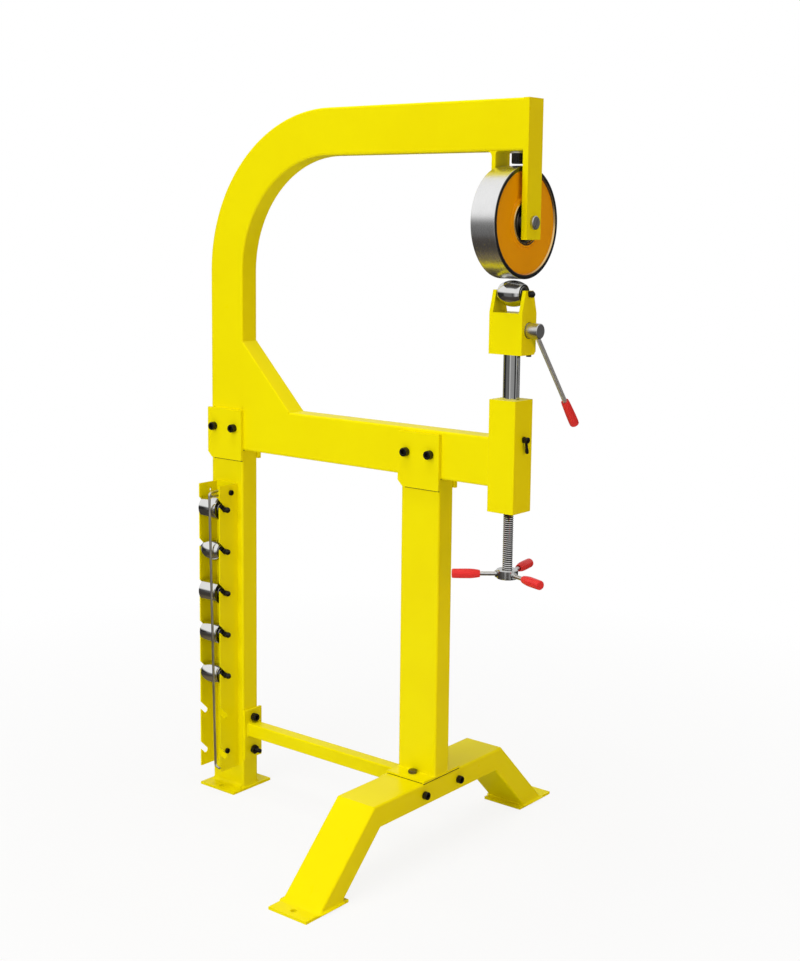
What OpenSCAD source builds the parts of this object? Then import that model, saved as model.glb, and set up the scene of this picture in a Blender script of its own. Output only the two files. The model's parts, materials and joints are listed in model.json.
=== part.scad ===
// English wheel for shaping sheet metal, in millimetres.
// +X runs along the throat from the column to the wheels, +Z is up.
// The origin is the middle of the rear foot's underside, on the floor.

/* [Box tube] */
// Wide side of the box tube, in the frame's plane
tube_h = 96; // [90:1:104]
// Narrow side of the box tube, across the machine
tube_t = 47; // [42:1:54]
// Wall of the box tube
tube_wall = 4; // [3:0.5:6]
// Outside corner radius of the box tube
tube_corner = 5; // [2:0.5:6]

/* [Frame] */
// Throat depth, from the column's centre line to the wheels
throat_x = 742; // [700:2:800]
// Height of the lower arm's centre line
lower_z = 829; // [800:1:860]
// Centre-line radius of the bend
bend_r = 293; // [240:1:330]
// Gusset's side along the lower arm
gusset_x = 140; // [100:1:180]
// Gusset's side along the column
gusset_z = 144; // [100:1:180]
// Thickness of the gusset's sheets
gusset_wall = 5; // [3:0.5:8]

/* [Fork] */
// Space between the wheel and each ear of the fork
wheel_side = 3.5; // [2:0.25:6]
// Thickness of the outer end plate
end_plate_t = 12; // [8:0.5:16]
// Thickness of the inner ear
inner_ear_t = 9; // [6:0.5:12]
// Wheel axis below the upper arm's centre line
wheel_drop = 179.5; // [176:0.5:190]
// Ears' ends below the wheel axis
ear_below = 31.5; // [24:0.5:40]
// Radius of the screw head under the arm
fork_screw_r = 12; // [8:0.5:14]
// That screw's place, from the middle of the fork
fork_screw_x = 4; // [0:0.5:6]
// Its washer's edge beyond the head
fork_washer_rim = 3; // [1:0.5:5]
// Height of that head
fork_screw_h = 18; // [10:0.5:19]
// Its washer's thickness
fork_washer_t = 4; // [2:0.5:4]

/* [Upper wheel] */
// Wheel diameter
wheel_d = 210; // [180:1:214]
// Wheel width
wheel_w = 54; // [46:0.5:56]
// Rim wall
rim_wall = 7.5; // [5:0.5:12]
// Chamfer on the rim's edges
rim_chamfer = 2.5; // [1:0.5:3]
// Thickness of each side disc
disc_t = 8; // [4:0.5:10]
// Discs' faces below the rim's sides
disc_recess = 1.5; // [0.5:0.5:4]
// Outside radius of the hub sleeve
hub_r = 46; // [43:0.5:54]
// Outside radius of the wheel bearings
bearing_r = 40; // [34:0.5:41]
// Width of each wheel bearing
bearing_w = 18; // [12:0.5:20]
// Bearings' faces below the hub's ends
bearing_recess = 4; // [1:0.5:5]
// Radius of the sleeve that the bearings sit on
sleeve_r = 20; // [16:0.5:24]
// Radius of the axle
axle_r = 10; // [8:0.5:12]
// Radius of the axle's slotted head
axle_head_r = 12.75; // [12.5:0.25:15]
// Height of that head
axle_head_h = 6; // [4:0.5:9]
// Width of the slot in that head
axle_slot_w = 3; // [2:0.5:4]
// Height of the axle's nut
axle_nut_h = 12; // [8:0.5:14]

/* [Anvils] */
// Diameter of every anvil roller at its crown
anvil_d = 50; // [46:0.5:54]
// Width of every anvil roller
anvil_w = 50; // [46:0.5:52]
// Space between the wheel and the working anvil
nip = 2.5; // [2:0.1:4]
// Diameter of the anvil axles
anvil_axle_d = 12; // [10:0.5:12]
// Axle ends' centres beyond the sides of the slot that holds the anvil
axle_out = 12.5; // [12:0.5:16]
// Radius of the axle's round ends
axle_ball_r = 6.5; // [6.5:0.25:8]
// Outside diameter of the anvil bearings
anvil_bearing_d = 28; // [26:0.5:29]
// Width of an anvil bearing
anvil_bearing_w = 8; // [6:0.5:10]
// Thickness of the collar nuts beside a roller
collar_t = 3.9; // [2:0.1:6]
// Play between a collar nut and the side of its slot
side_play = 0.3; // [0.1:0.1:1]
// Crown radius of the working anvil
work_crown = 50; // [45:1:300]
// Crown radius of the topmost stored anvil
crown_1 = 220; // [42:1:1200]
// Crown radius of the second stored anvil
crown_2 = 42; // [42:1:1200]
// Crown radius of the third stored anvil
crown_3 = 1200; // [42:1:1200]
// Crown radius of the fourth stored anvil
crown_4 = 120; // [42:1:1200]
// Crown radius of the lowest stored anvil
crown_5 = 60; // [42:1:1200]

/* [Yoke] */
// Yoke thickness, across
yoke_t = 48; // [46:0.5:56]
// Thickness of its ears
yoke_ear_t = 8; // [6:0.25:9]
// Slot floor below the anvil axis
slot_below = 35.5; // [34:0.5:38]
// Ears' tops above the anvil axis
ear_above = 6.5; // [5:0.5:9]
// Width of an ear at its top
ear_top_w = 25; // [22:0.5:34]
// Underside below the anvil axis
yoke_below = 114.5; // [110:0.5:118]
// Quick-release shaft below the anvil axis
cam_below = 68; // [67:0.5:70]
// Length of the shaft outside the yoke
cam_out = 26; // [20:0.5:34]
// Radius of the shaft's eccentric
eccentric_r = 10.5; // [9.5:0.25:10.5]
// Eccentricity
eccentric_e = 3.66; // [2.5:0.02:3.8]
// Eccentric's lobe at rest, measured from straight down
lobe_deg = 35; // [20:1:60]
// Radius of the shaft's inner pilot
pilot_r = 6; // [4:0.5:6]
// Quick-release lever's angle below the horizontal
lever_deg = 52; // [30:1:80]
// Distance from the shaft's axis to the lever's tip
lever_len = 243; // [200:1:280]
// Radius of the lever rod
lever_rod_r = 4.5; // [3:0.25:6]
// Length of the lever grip
lever_grip_l = 63; // [50:1:80]
// The lever grip's thickness round its rod, at its swell
lever_swell = 4.5; // [3:0.5:6]
// Bevel on the yoke's lower far edge
yoke_bevel = 6; // [2:0.5:8]
// Wall left beyond the shaft's inner pilot
pilot_wall = 3; // [2:0.5:5]
// Radius of the guide screw in the yoke's underside
guide_r = 3; // [2:0.25:3.5]
// Radius of that screw's head
guide_head_r = 5; // [4:0.25:6]
// Height of that head
guide_head_h = 4; // [2:0.5:6]
// Length of that screw
guide_l = 12; // [8:1:14]
// Gap left under that screw with the ram and the quick release right down
guide_gap = 1; // [0.5:0.5:10]
// That screw's distance from the yoke's outer side
guide_in_x = 7.5; // [6:0.25:8.5]
// That screw's distance from the yoke's far side
guide_in_y = 12; // [11:0.5:16]

/* [Ram and screw] */
// Ram diameter
ram_d = 32; // [28:0.5:33]
// Depth of the flat keyway in the ram
keyway_depth = 3; // [1.5:0.25:4]
// Width of the keyway
keyway_w = 9; // [8.5:0.25:12]
// Keyway's start above the ram's bottom
keyway_up = 8; // [4:1:20]
// Keyway's end below the yoke
keyway_down = 6; // [2:1:12]
// Height of the thrust pad under the ram
pad_h = 5; // [3:0.5:8]
// Thrust pad's edge inside the ram's
pad_rim = 3; // [1:0.5:5]
// Slide housing's outside width
housing_w = 60.5; // [58:0.5:66]
// Slide housing's wall
housing_wall = 5; // [4:0.5:7]
// Slide housing's corner radius
housing_corner = 2; // [1:0.5:4]
// Housing's top above the lower arm's centre line
housing_up = 122; // [112:1:122]
// Housing's bottom below the lower arm's centre line
housing_down = 95; // [90:1:110]
// Height of the ram's bushes
bush_h = 40; // [30:1:44]
// Upper bush below the housing's top
bush_down = 3; // [1:0.5:6]
// Height of the screw's nut
nut_h = 30; // [20:1:34]
// Travel of the ram below its rest height
ram_travel = 75; // [60:1:80]
// Adjusting screw diameter
screw_d = 20; // [16:0.5:24]
// Length of screw between the housing and the handle hub
screw_show = 114; // [100:1:130]
// Handle hub radius
hub_handle_r = 21; // [18:0.5:26]
// Handle hub height
hub_handle_h = 18; // [14:0.5:26]
// Angle of the first handle
handle_deg = -140; // [-180:1:180]
// Distance from the screw's axis to a handle's tip
handle_len = 108; // [90:1:130]
// Length of a handle grip
grip_l = 55; // [40:1:60]
// Radius of a handle rod
rod_r = 4; // [3:0.25:5]
// A handle grip's thickness round its rod, at its root
grip_root = 2.5; // [1.5:0.5:4]
// A handle grip's thickness round its rod, at its swell
grip_swell = 5; // [3:0.5:6]
// Height of the clamp lever's stud above the lower arm's centre line
clamp_up = 46.6; // [44:0.2:50]
// Radius of the clamp lever's stud
clamp_r = 4; // [3:0.25:4]
// Radius of the clamp lever's head
clamp_head_r = 6; // [5:0.25:8]
// Length of the clamp lever's head
clamp_head_l = 12; // [8:0.5:16]
// Length of the clamp lever's arm
clamp_arm_l = 27; // [20:1:40]
// Radius of that arm
clamp_arm_r = 3; // [2:0.25:3.5]
// Slope of that arm
clamp_arm_deg = 10; // [0:1:20]

/* [Stand] */
// Front post's centre line
front_x = 544; // [500:1:580]
// Foot plates' and base plates' thickness
plate_t = 6; // [4:0.5:8]
// Front base plate's thickness
base_t = 5; // [4:0.5:8]
// Rear foot plate's length across
rear_foot_y = 120; // [110:1:150]
// Rear foot plate's width
rear_foot_x = 106; // [104:1:120]
// Rear foot's holes, centre to centre
rear_hole_gap = 88; // [80:1:92]
// Underside of the front leg's beam
beam_z = 117.5; // [110:0.5:130]
// Half length of the beam along its top
beam_half = 214; // [190:1:230]
// Slope of the legs
leg_deg = 45; // [38:1:52]
// Length of the front foot plates
foot_l = 120; // [110:1:140]
// Foot plate beyond the leg's end
foot_toe = 37; // [34:1:44]
// Front foot's hole from the plate's outer end
foot_hole_in = 18.5; // [14:0.5:20]
// Radius of the floor anchor holes
anchor_r = 6; // [4:0.5:7]
// Front base plate's length across
base_y = 120; // [110:1:140]
// Base screws, centre to centre
base_screw_gap = 70; // [64:1:90]
// Cheek plates' width
cheek_w = 103; // [100:1:112]
// Cheek plates' thickness
cheek_t = 8; // [5:0.5:12]
// Cheek plates' bottom below the lower arm
cheek_low = 23; // [16:1:40]
// Cheek plates' top below the lower arm's top
cheek_top = 7; // [2:1:14]
// Cut corner of a cheek plate
cheek_cut = 12; // [4:1:16]
// Saddle screws, centre to centre
saddle_gap = 60; // [44:1:64]
// Crossbar's side
bar_w = 30; // [25:1:36]
// Crossbar's wall
bar_wall = 3; // [2:0.5:4]
// Crossbar's corner radius
bar_corner = 3; // [1:0.5:4]
// Crossbar end plates' thickness
bar_plate_t = 6; // [4:0.5:10]
// Rear end plate's width
rear_plate_w = 54; // [48:1:60]
// Rear end plate's shift across
rear_plate_shift = 3; // [0:0.5:4]
// Rear end plate's height
rear_plate_h = 114; // [110:1:130]
// Rear end plate's centre below the crossbar's centre line
rear_plate_below = 11.5; // [8:0.5:14]
// Screws in the rear end plate, centre to centre
rear_plate_gap = 76; // [75:1:90]
// Front end plate's width across
front_plate_w = 150; // [140:1:180]
// Front end plate's height
front_plate_h = 40; // [36:1:46]
// Leg screws, centre to centre
leg_screw_gap = 114; // [100:1:124]

/* [Anvil rack] */
// Depth of its flanges, web included
rack_depth = 55; // [50:0.5:60]
// Sheet thickness
rack_sheet = 3; // [2:0.5:4]
// Rack's bottom above the floor
rack_z = 55; // [40:1:60]
// Rack's top below the cheek plates
rack_below = 53; // [40:1:60]
// Number of slots
slots = 7; // [6:1:7]
// Topmost seat below the rack's top
seat_down = 53; // [50:0.5:58]
// Lowest seat above the rack's bottom
seat_up = 33; // [30:0.5:40]
// Seats behind the flanges' free edges
seat_in = 14.5; // [12:0.5:18]
// Slope of the slots
slot_deg = 45; // [30:1:50]
// Clearance of an axle in its slot
slot_clear = 0.3; // [0.1:0.1:1]
// Rack screws' radius
rack_screw_r = 3; // [2:0.25:4]
// Radius of their heads
rack_head_r = 6; // [5:0.25:7]
// Height of their heads
rack_head_h = 5; // [3:0.5:6]
// Height of their nuts
rack_nut_h = 4; // [3:0.5:5]
// Length of the top rack screw
rack_screw_l = 25; // [24:0.5:26]
// Top rack screw below the rack's top
rack_screw_down = 18; // [15:0.5:20]
// Top rack screw in front of the post
rack_screw_out = 21.5; // [16:0.5:24]
// Bottom rack screw above the lowest seat
low_screw_up = 12; // [12:0.5:18]
// Bottom rack screw behind that seat
low_screw_back = 4; // [0:0.5:8]
// Radius of the retaining rod
wire_r = 2.75; // [2:0.25:3]
// Gap between the rollers and the retaining rod
wire_gap = 0.5; // [0.3:0.1:3]
// Retaining rod's place across the rack, at its top
wire_top_x = 15; // [14.5:0.5:16]
// Retaining rod's place across the rack, at its foot
wire_foot_x = 30; // [10:1:34]
// Length of the rod's bent foot
wire_foot_l = 14; // [8:1:24]
// Height of that foot above the rack's bottom
wire_foot_up = 7; // [4:1:40]

/* [Screws] */
// Radius of the big socket screws
big_r = 6; // [5:0.25:6.25]
// Radius of the small socket screws
small_r = 5; // [4:0.25:5.5]
// Height of the big nuts
big_nut_h = 10; // [8:0.5:12]
// Height of the small nuts
small_nut_h = 8; // [6:0.5:10]
// Screw thread beyond a nut
thread_out = 4; // [2:0.5:8]

/* [Fits] */
// Radial clearance of a running fit
run = 0.05; // [0.02:0.01:0.08]
// Radial clearance of a fixed seat
seat = 0.02; // [0.01:0.01:0.05]
// Clearance between flat faces that move past each other
face_gap = 0.3; // [0.1:0.1:0.5]

/* [Hidden] */
$fn = 64;
eps = 1;
nut_ratio = 1.75;
socket_ratio = 0.85;
socket_floor = 0.45;
stored = 5;
crowns = [crown_1, crown_2, crown_3, crown_4, crown_5];
half_h = tube_h / 2;
half_t = tube_t / 2;
lower_top = lower_z + half_h;
lower_bottom = lower_z - half_h;
housing_top = lower_z + housing_up;
housing_bottom = lower_z - housing_down;
yoke_drop = 2 * eccentric_e * cos(lobe_deg);
yoke_z = housing_top + ram_travel + yoke_drop + guide_head_h + guide_gap;
anvil_z = yoke_z + yoke_below;
wheel_z = anvil_z + anvil_d / 2 + nip + wheel_d / 2;
upper_z = wheel_z + wheel_drop;
upper_top = upper_z + half_h;
upper_under = upper_z - half_h;
bend_z = upper_z - bend_r;
ear_end = wheel_z - ear_below;
ear_in = wheel_w / 2 + wheel_side;
end_face = throat_x + ear_in + end_plate_t;
inner_face = throat_x - ear_in - inner_ear_t;
anvil_axle_r = anvil_axle_d / 2;
anvil_bearing_r = anvil_bearing_d / 2;
slot_z = anvil_z - slot_below;
cam_z = anvil_z - cam_below;
yoke_in = anvil_w / 2 + face_gap + collar_t + side_play;
yoke_w = 2 * (yoke_in + yoke_ear_t);
anvil_axle_half = yoke_in + axle_out;
rack_w = 2 * (yoke_in + rack_sheet);
cam_r = eccentric_r + eccentric_e + face_gap;
ram_r = ram_d / 2;
ram_bore_top = cam_z + eccentric_r + eccentric_e + face_gap;
ram_top = cam_z - eccentric_r - eccentric_e * cos(lobe_deg) - face_gap;
housing_in = housing_w - 2 * housing_wall;
housing_face = throat_x - housing_w / 2;
nut_top = housing_bottom + nut_h;
ram_bottom = nut_top + ram_travel + pad_h + face_gap;
clamp_z = lower_z + clamp_up;
screw_r = screw_d / 2;
hub_top = housing_bottom - screw_show;
hub_mid = hub_top - hub_handle_h / 2;
post_top = lower_bottom;
beam_top = beam_z + tube_t;
beam_mid = beam_z + half_t;
base_top = beam_top + base_t;
beam_half_low = beam_half - tube_t * tan(leg_deg / 2);
leg_run = (beam_top - plate_t) / tan(leg_deg);
leg_end = beam_half + leg_run;
leg_run_low = (beam_z - plate_t) / tan(leg_deg);
foot_out = leg_end + foot_toe;
front_hole_y = foot_out - foot_hole_in;
bar_start = half_h + bar_plate_t;
bar_end = front_x - half_h - bar_plate_t;
rear_plate_z = beam_mid - rear_plate_below;
cheek_y = half_t + cheek_t;
cheek_bottom = lower_bottom - cheek_low;
rack_top = cheek_bottom - rack_below;
rack_h = rack_top - rack_z;
rack_edge = -half_t - rack_depth;
seat_y = rack_edge + seat_in;
seat_top_z = rack_top - seat_down;
slot_r = anvil_axle_r + slot_clear;
slot_half = anvil_axle_r + slot_clear / 2;
wire_y = seat_y - anvil_d / 2 - wire_r - wire_gap;
pivot_y = -half_t - rack_screw_out;
pivot_z = rack_top - rack_screw_down;
eye_r = rack_screw_r + run + wire_r;
low_seat_z = rack_z + seat_up;
slot_pitch = (seat_top_z - low_seat_z) / (slots - 1);
wire_foot_z = rack_z + wire_foot_up;
big_head = 1.5 * big_r;
big_head_h = 2 * big_r;
small_head = 1.6 * small_r;
small_head_h = 2 * small_r;
paint = "yellow";

// Shared shapes

module rounded_rect(w, h, r) {
    square([w - 2 * r, h], center = true);
    square([w, h - 2 * r], center = true);
    for (sx = [-1, 1], sy = [-1, 1])
        translate([sx * (w / 2 - r), sy * (h / 2 - r)])
            circle(r, $fn = 32);
}

module tube_section(w, h, wall, r) {
    difference() {
        rounded_rect(w, h, r);
        square([w - 2 * wall, h - 2 * wall], center = true);
    }
}

// Round bar along +X from x = a to x = b
module bar_x(r, a, b) {
    translate([a, 0, 0])
        rotate([0, 90, 0])
            cylinder(r = r, h = b - a);
}

// Ring along +X
module ring_x(r_out, r_in, a, b) {
    difference() {
        bar_x(r_out, a, b);
        bar_x(r_in, a - eps, b + eps);
    }
}

// Hexagon nut along +X, sized by its bolt's radius
module nut_x(r, a, b) {
    difference() {
        translate([a, 0, 0])
            rotate([0, 90, 0])
                cylinder(r = nut_ratio * r, h = b - a, $fn = 6);
        bar_x(r + seat, a - eps, b + eps);
    }
}

// Socket screw along +X: head from 0 to head_h, shank behind it
module socket_screw_x(r, head_r, head_h, shank) {
    difference() {
        union() {
            bar_x(head_r, 0, head_h);
            bar_x(r, -shank, eps);
        }
        translate([head_h * socket_floor, 0, 0])
            rotate([0, 90, 0])
                cylinder(r = r * socket_ratio, h = head_h, $fn = 6);
    }
}

// Polygon in the XZ plane, extruded across from y = a to y = b
module across(points, a, b) {
    translate([0, b, 0])
        rotate([90, 0, 0])
            linear_extrude(b - a)
                polygon(points);
}

// Frame

module upper_arm() {
    color(paint)
        translate([bend_r, 0, upper_z])
            rotate([0, 90, 0])
                linear_extrude(throat_x + ear_in - bend_r)
                    tube_section(tube_h, tube_t, tube_wall, tube_corner);
}

module bend() {
    color(paint)
        translate([bend_r, 0, bend_z])
            rotate([90, 0, 0])
                rotate([0, 0, 90])
                    rotate_extrude(angle = 90, $fn = 128)
                        translate([bend_r, 0])
                            tube_section(tube_h, tube_t, tube_wall, tube_corner);
}

module column() {
    color(paint)
        difference() {
            translate([0, 0, lower_bottom])
                linear_extrude(bend_z - lower_bottom)
                    tube_section(tube_h, tube_t, tube_wall, tube_corner);
            saddle_holes(0);
        }
}

module gusset() {
    corner = [half_h, lower_top];
    inset = gusset_wall * sqrt(2);
    color(paint)
        difference() {
            across([
                corner,
                corner + [gusset_x, 0],
                corner + [0, gusset_z]
            ], -half_t, half_t);
            across([
                corner - [eps, eps],
                corner + [gusset_x - inset, -eps],
                corner + [-eps, gusset_z - inset]
            ], gusset_wall - half_t, half_t - gusset_wall);
        }
}

module lower_arm() {
    color(paint)
        difference() {
            translate([half_h, 0, lower_z])
                rotate([0, 90, 0])
                    linear_extrude(housing_face - half_h)
                        tube_section(tube_h, tube_t, tube_wall, tube_corner);
            saddle_holes(front_x);
        }
}

module saddle_holes(x) {
    for (s = [-1, 1])
        translate([x + s * saddle_gap / 2, 0, lower_z])
            rotate([90, 0, 0])
                cylinder(r = big_r + seat, h = 4 * tube_t, center = true);
}

module fork_plates() {
    color(paint)
        difference() {
            union() {
                translate([throat_x + ear_in, -half_t, ear_end])
                    cube([end_plate_t, tube_t, upper_top - ear_end]);
                translate([inner_face, -half_t, ear_end])
                    cube([inner_ear_t, tube_t, upper_under - ear_end]);
            }
            translate([throat_x, 0, wheel_z])
                bar_x(axle_r + seat, -tube_h, tube_h);
        }
}

module fork_screw() {
    color("black")
        translate([throat_x + fork_screw_x, 0, upper_under - fork_washer_t])
            difference() {
                union() {
                    cylinder(r = fork_screw_r + fork_washer_rim, h = fork_washer_t);
                    translate([0, 0, -fork_screw_h])
                        cylinder(r = fork_screw_r, h = fork_screw_h + eps);
                }
                translate([0, 0, -fork_screw_h - eps])
                    cylinder(r = fork_screw_r / 2, h = fork_screw_h / 2, $fn = 6);
            }
}

module slide_housing() {
    color(paint)
        difference() {
            translate([throat_x, 0, housing_bottom])
                linear_extrude(housing_top - housing_bottom)
                    tube_section(housing_w, housing_w, housing_wall, housing_corner);
            translate([throat_x, 0, clamp_z])
                bar_x(clamp_r + run, 0, housing_w);
        }
}

module bush(z) {
    translate([throat_x, 0, z])
        difference() {
            translate([-housing_in / 2, -housing_in / 2, 0])
                cube([housing_in, housing_in, bush_h]);
            translate([0, 0, -eps])
                cylinder(r = ram_r + run, h = bush_h + 2 * eps);
            translate([0, 0, clamp_z - z])
                bar_x(clamp_r + run, 0, housing_w);
        }
}

module ram_bushes() {
    color("peru") {
        bush(housing_top - bush_h - bush_down);
        bush(clamp_z - bush_h / 2);
    }
}

module screw_nut() {
    color("peru")
        translate([throat_x, 0, housing_bottom])
            difference() {
                translate([-housing_in / 2, -housing_in / 2, 0])
                    cube([housing_in, housing_in, nut_h]);
                translate([0, 0, -eps])
                    cylinder(r = screw_r + run, h = nut_h + 2 * eps);
            }
}

// Stand

module rear_post() {
    color(paint)
        difference() {
            translate([0, 0, plate_t])
                linear_extrude(post_top - plate_t)
                    tube_section(tube_h, tube_t, tube_wall, tube_corner);
            rear_plate_places()
                bar_x(big_r + seat, -2 * tube_wall, big_r);
        }
}

module rear_foot() {
    color(paint)
        difference() {
            translate([-rear_foot_x / 2, -rear_foot_y / 2, 0])
                cube([rear_foot_x, rear_foot_y, plate_t]);
            for (s = [-1, 1])
                translate([0, s * rear_hole_gap / 2, -eps])
                    cylinder(r = anchor_r, h = plate_t + 2 * eps);
        }
}

module front_post() {
    color(paint)
        translate([front_x, 0, base_top])
            linear_extrude(post_top - base_top)
                tube_section(tube_h, tube_t, tube_wall, tube_corner);
}

module base_screw_places() {
    for (s = [-1, 1])
        translate([front_x, s * base_screw_gap / 2, base_top])
            children();
}

module front_base() {
    color(paint)
        difference() {
            translate([front_x - half_h, -base_y / 2, beam_top])
                cube([tube_h, base_y, base_t]);
            base_screw_places()
                cylinder(r = small_r + seat, h = 3 * base_t, center = true);
        }
}

module base_screws() {
    color("dimgray")
        base_screw_places() {
            cylinder(r = 1.9 * small_r, h = 1.3 * small_r, $fn = 6);
            translate([0, 0, -base_t - 2 * tube_wall])
                cylinder(r = small_r, h = base_t + 2 * tube_wall + eps);
        }
}

module cheek_pair(x) {
    low = cheek_bottom;
    high = lower_top - cheek_top;
    half = cheek_w / 2;
    for (s = [-1, 1])
        difference() {
            across([
                [x - half, low + cheek_cut],
                [x - half + cheek_cut, low],
                [x + half, low],
                [x + half, high],
                [x - half, high]
            ], s > 0 ? half_t : -cheek_y, s > 0 ? cheek_y : -half_t);
            saddle_holes(x);
        }
}

module cheeks() {
    color(paint) {
        cheek_pair(0);
        cheek_pair(front_x);
    }
}

module saddle_places() {
    for (x = [0, front_x], s = [-1, 1])
        translate([x + s * saddle_gap / 2, 0, lower_z])
            rotate([0, 0, -90])
                children();
}

module saddle_screws() {
    color("black")
        saddle_places()
            translate([cheek_y, 0, 0])
                socket_screw_x(big_r, big_head, big_head_h, 2 * cheek_y + big_nut_h + thread_out);
}

module saddle_nuts() {
    color("black")
        saddle_places()
            nut_x(big_r, -cheek_y - big_nut_h, -cheek_y);
}

module leg_screw_places() {
    for (s = [-1, 1])
        translate([front_x + half_h, s * leg_screw_gap / 2, beam_mid])
            children();
}

// Outline of the beam, seen along +X
function beam_outline() = [
    [-beam_half, beam_top],
    [beam_half, beam_top],
    [beam_half_low, beam_z],
    [-beam_half_low, beam_z]
];

// Polygon in the YZ plane, extruded along X about the front post
module along(points, half) {
    translate([front_x - half, 0, 0])
        rotate([90, 0, 90])
            linear_extrude(2 * half)
                polygon(points);
}

module leg_beam() {
    w = tube_wall;
    c = w * tan(leg_deg / 2);
    color(paint)
        difference() {
            along(beam_outline(), half_h);
            along([
                [-beam_half - eps, beam_top - w],
                [beam_half + eps, beam_top - w],
                [beam_half_low + eps + c, beam_z + w],
                [-beam_half_low - eps - c, beam_z + w]
            ], half_h - w);
            leg_screw_places()
                bar_x(small_r + seat, -2 * tube_h, eps);
            base_screw_places()
                translate([0, 0, -base_t])
                    cylinder(r = small_r + seat, h = 3 * tube_wall, center = true);
        }
}

module legs() {
    color(paint)
        for (m = [0, 1])
            mirror([0, m, 0])
                difference() {
                    along([
                        [beam_half, beam_top],
                        [leg_end, plate_t],
                        [beam_half_low + leg_run_low, plate_t],
                        [beam_half_low, beam_z]
                    ], half_h);
                    leg_hollow();
                }
}

// Space inside one leg, open at both of its ends
module leg_hollow() {
    w = tube_wall;
    c = w * tan(leg_deg / 2);
    d = w / sin(leg_deg);
    t = [cos(leg_deg), -sin(leg_deg)];
    up = -2 * eps * t;
    down = 2 * eps * t;
    along([
        [beam_half - c, beam_top - w] + up,
        [leg_end - d, plate_t] + down,
        [beam_half_low + leg_run_low + d, plate_t] + down,
        [beam_half_low + c, beam_z + w] + up
    ], half_h - w);
}

module leg_feet() {
    color(paint)
        for (m = [0, 1])
            mirror([0, m, 0])
                difference() {
                    translate([front_x - half_h, foot_out - foot_l, 0])
                        cube([tube_h, foot_l, plate_t]);
                    translate([front_x, front_hole_y, -eps])
                        cylinder(r = anchor_r, h = plate_t + 2 * eps);
                }
}

module crossbar() {
    color(paint)
        translate([bar_start, 0, beam_mid])
            rotate([0, 90, 0])
                linear_extrude(bar_end - bar_start)
                    tube_section(bar_w, bar_w, bar_wall, bar_corner);
}

module rear_plate_places() {
    for (s = [-1, 1])
        translate([half_h, rear_plate_shift, rear_plate_z + s * rear_plate_gap / 2])
            children();
}

module crossbar_plates() {
    color(paint)
        difference() {
            union() {
                translate([
                    half_h,
                    rear_plate_shift - rear_plate_w / 2,
                    rear_plate_z - rear_plate_h / 2
                ])
                    cube([bar_plate_t, rear_plate_w, rear_plate_h]);
                translate([bar_end, -front_plate_w / 2, beam_mid - front_plate_h / 2])
                    cube([bar_plate_t, front_plate_w, front_plate_h]);
            }
            rear_plate_places()
                bar_x(big_r + seat, -eps, bar_plate_t + eps);
            leg_screw_places()
                bar_x(small_r + seat, -2 * tube_h, 0);
        }
}

module crossbar_screws() {
    color("black")
        rear_plate_places()
            translate([bar_plate_t, 0, 0])
                socket_screw_x(big_r, big_head, big_head_h, bar_plate_t + 2 * tube_wall);
}

module leg_screws() {
    color("black")
        leg_screw_places()
            socket_screw_x(small_r, small_head, small_head_h,
                tube_h + bar_plate_t + small_nut_h + thread_out);
}

module leg_nuts() {
    color("black")
        leg_screw_places()
            nut_x(small_r, -tube_h - bar_plate_t - small_nut_h, -tube_h - bar_plate_t);
}

// Upper wheel, all along X about the wheel's axis

module at_wheel() {
    translate([throat_x, 0, wheel_z])
        children();
}

module wheel_axle() {
    color("silver")
        at_wheel()
            difference() {
                union() {
                    bar_x(axle_r, -ear_in - inner_ear_t - axle_nut_h - thread_out,
                        ear_in + end_plate_t + eps);
                    bar_x(axle_head_r, end_face - throat_x, end_face - throat_x + axle_head_h);
                }
                translate([end_face - throat_x + axle_head_h / 2, -axle_slot_w / 2, -axle_head_r])
                    cube([axle_head_h, axle_slot_w, 2 * axle_head_r]);
            }
}

module axle_sleeve() {
    color("dimgray")
        at_wheel()
            ring_x(sleeve_r, axle_r + seat, face_gap / 3 - ear_in, ear_in - face_gap / 3);
}

module axle_nut() {
    color("silver")
        at_wheel()
            nut_x(axle_r, -ear_in - inner_ear_t - axle_nut_h, -ear_in - inner_ear_t);
}

module wheel_rim() {
    r = wheel_d / 2;
    w = wheel_w / 2;
    c = rim_chamfer;
    color("silver")
        at_wheel()
            rotate([0, 90, 0])
                rotate_extrude($fn = 128)
                    polygon([
                        [r - rim_wall, -w],
                        [r - c, -w],
                        [r, -w + c],
                        [r, w - c],
                        [r - c, w],
                        [r - rim_wall, w]
                    ]);
}

module wheel_discs() {
    face = wheel_w / 2 - disc_recess;
    color("darkorange")
        at_wheel()
            for (m = [0, 1])
                mirror([m, 0, 0])
                    ring_x(wheel_d / 2 - rim_wall - seat, hub_r + seat, face - disc_t, face, $fn = 128);
}

module wheel_hub() {
    color("darkorange")
        at_wheel()
            ring_x(hub_r, bearing_r + seat, -wheel_w / 2, wheel_w / 2);
}

module wheel_bearings() {
    face = wheel_w / 2 - bearing_recess;
    color("black")
        at_wheel()
            for (m = [0, 1])
                mirror([m, 0, 0])
                    ring_x(bearing_r, sleeve_r + run, face - bearing_w, face);
}

// Ram, screw and clamp

module ram() {
    color("silver")
        translate([throat_x, 0, 0])
            difference() {
                translate([0, 0, ram_bottom])
                    cylinder(r = ram_r, h = ram_top - ram_bottom);
                translate([ram_r - keyway_depth, -keyway_w / 2, ram_bottom + keyway_up])
                    cube([ram_r, keyway_w, yoke_z - keyway_down - ram_bottom - keyway_up]);
            }
}

module thrust_pad() {
    color("peru")
        translate([throat_x, 0, ram_bottom - pad_h])
            cylinder(r = ram_r - pad_rim, h = pad_h);
}

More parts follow.
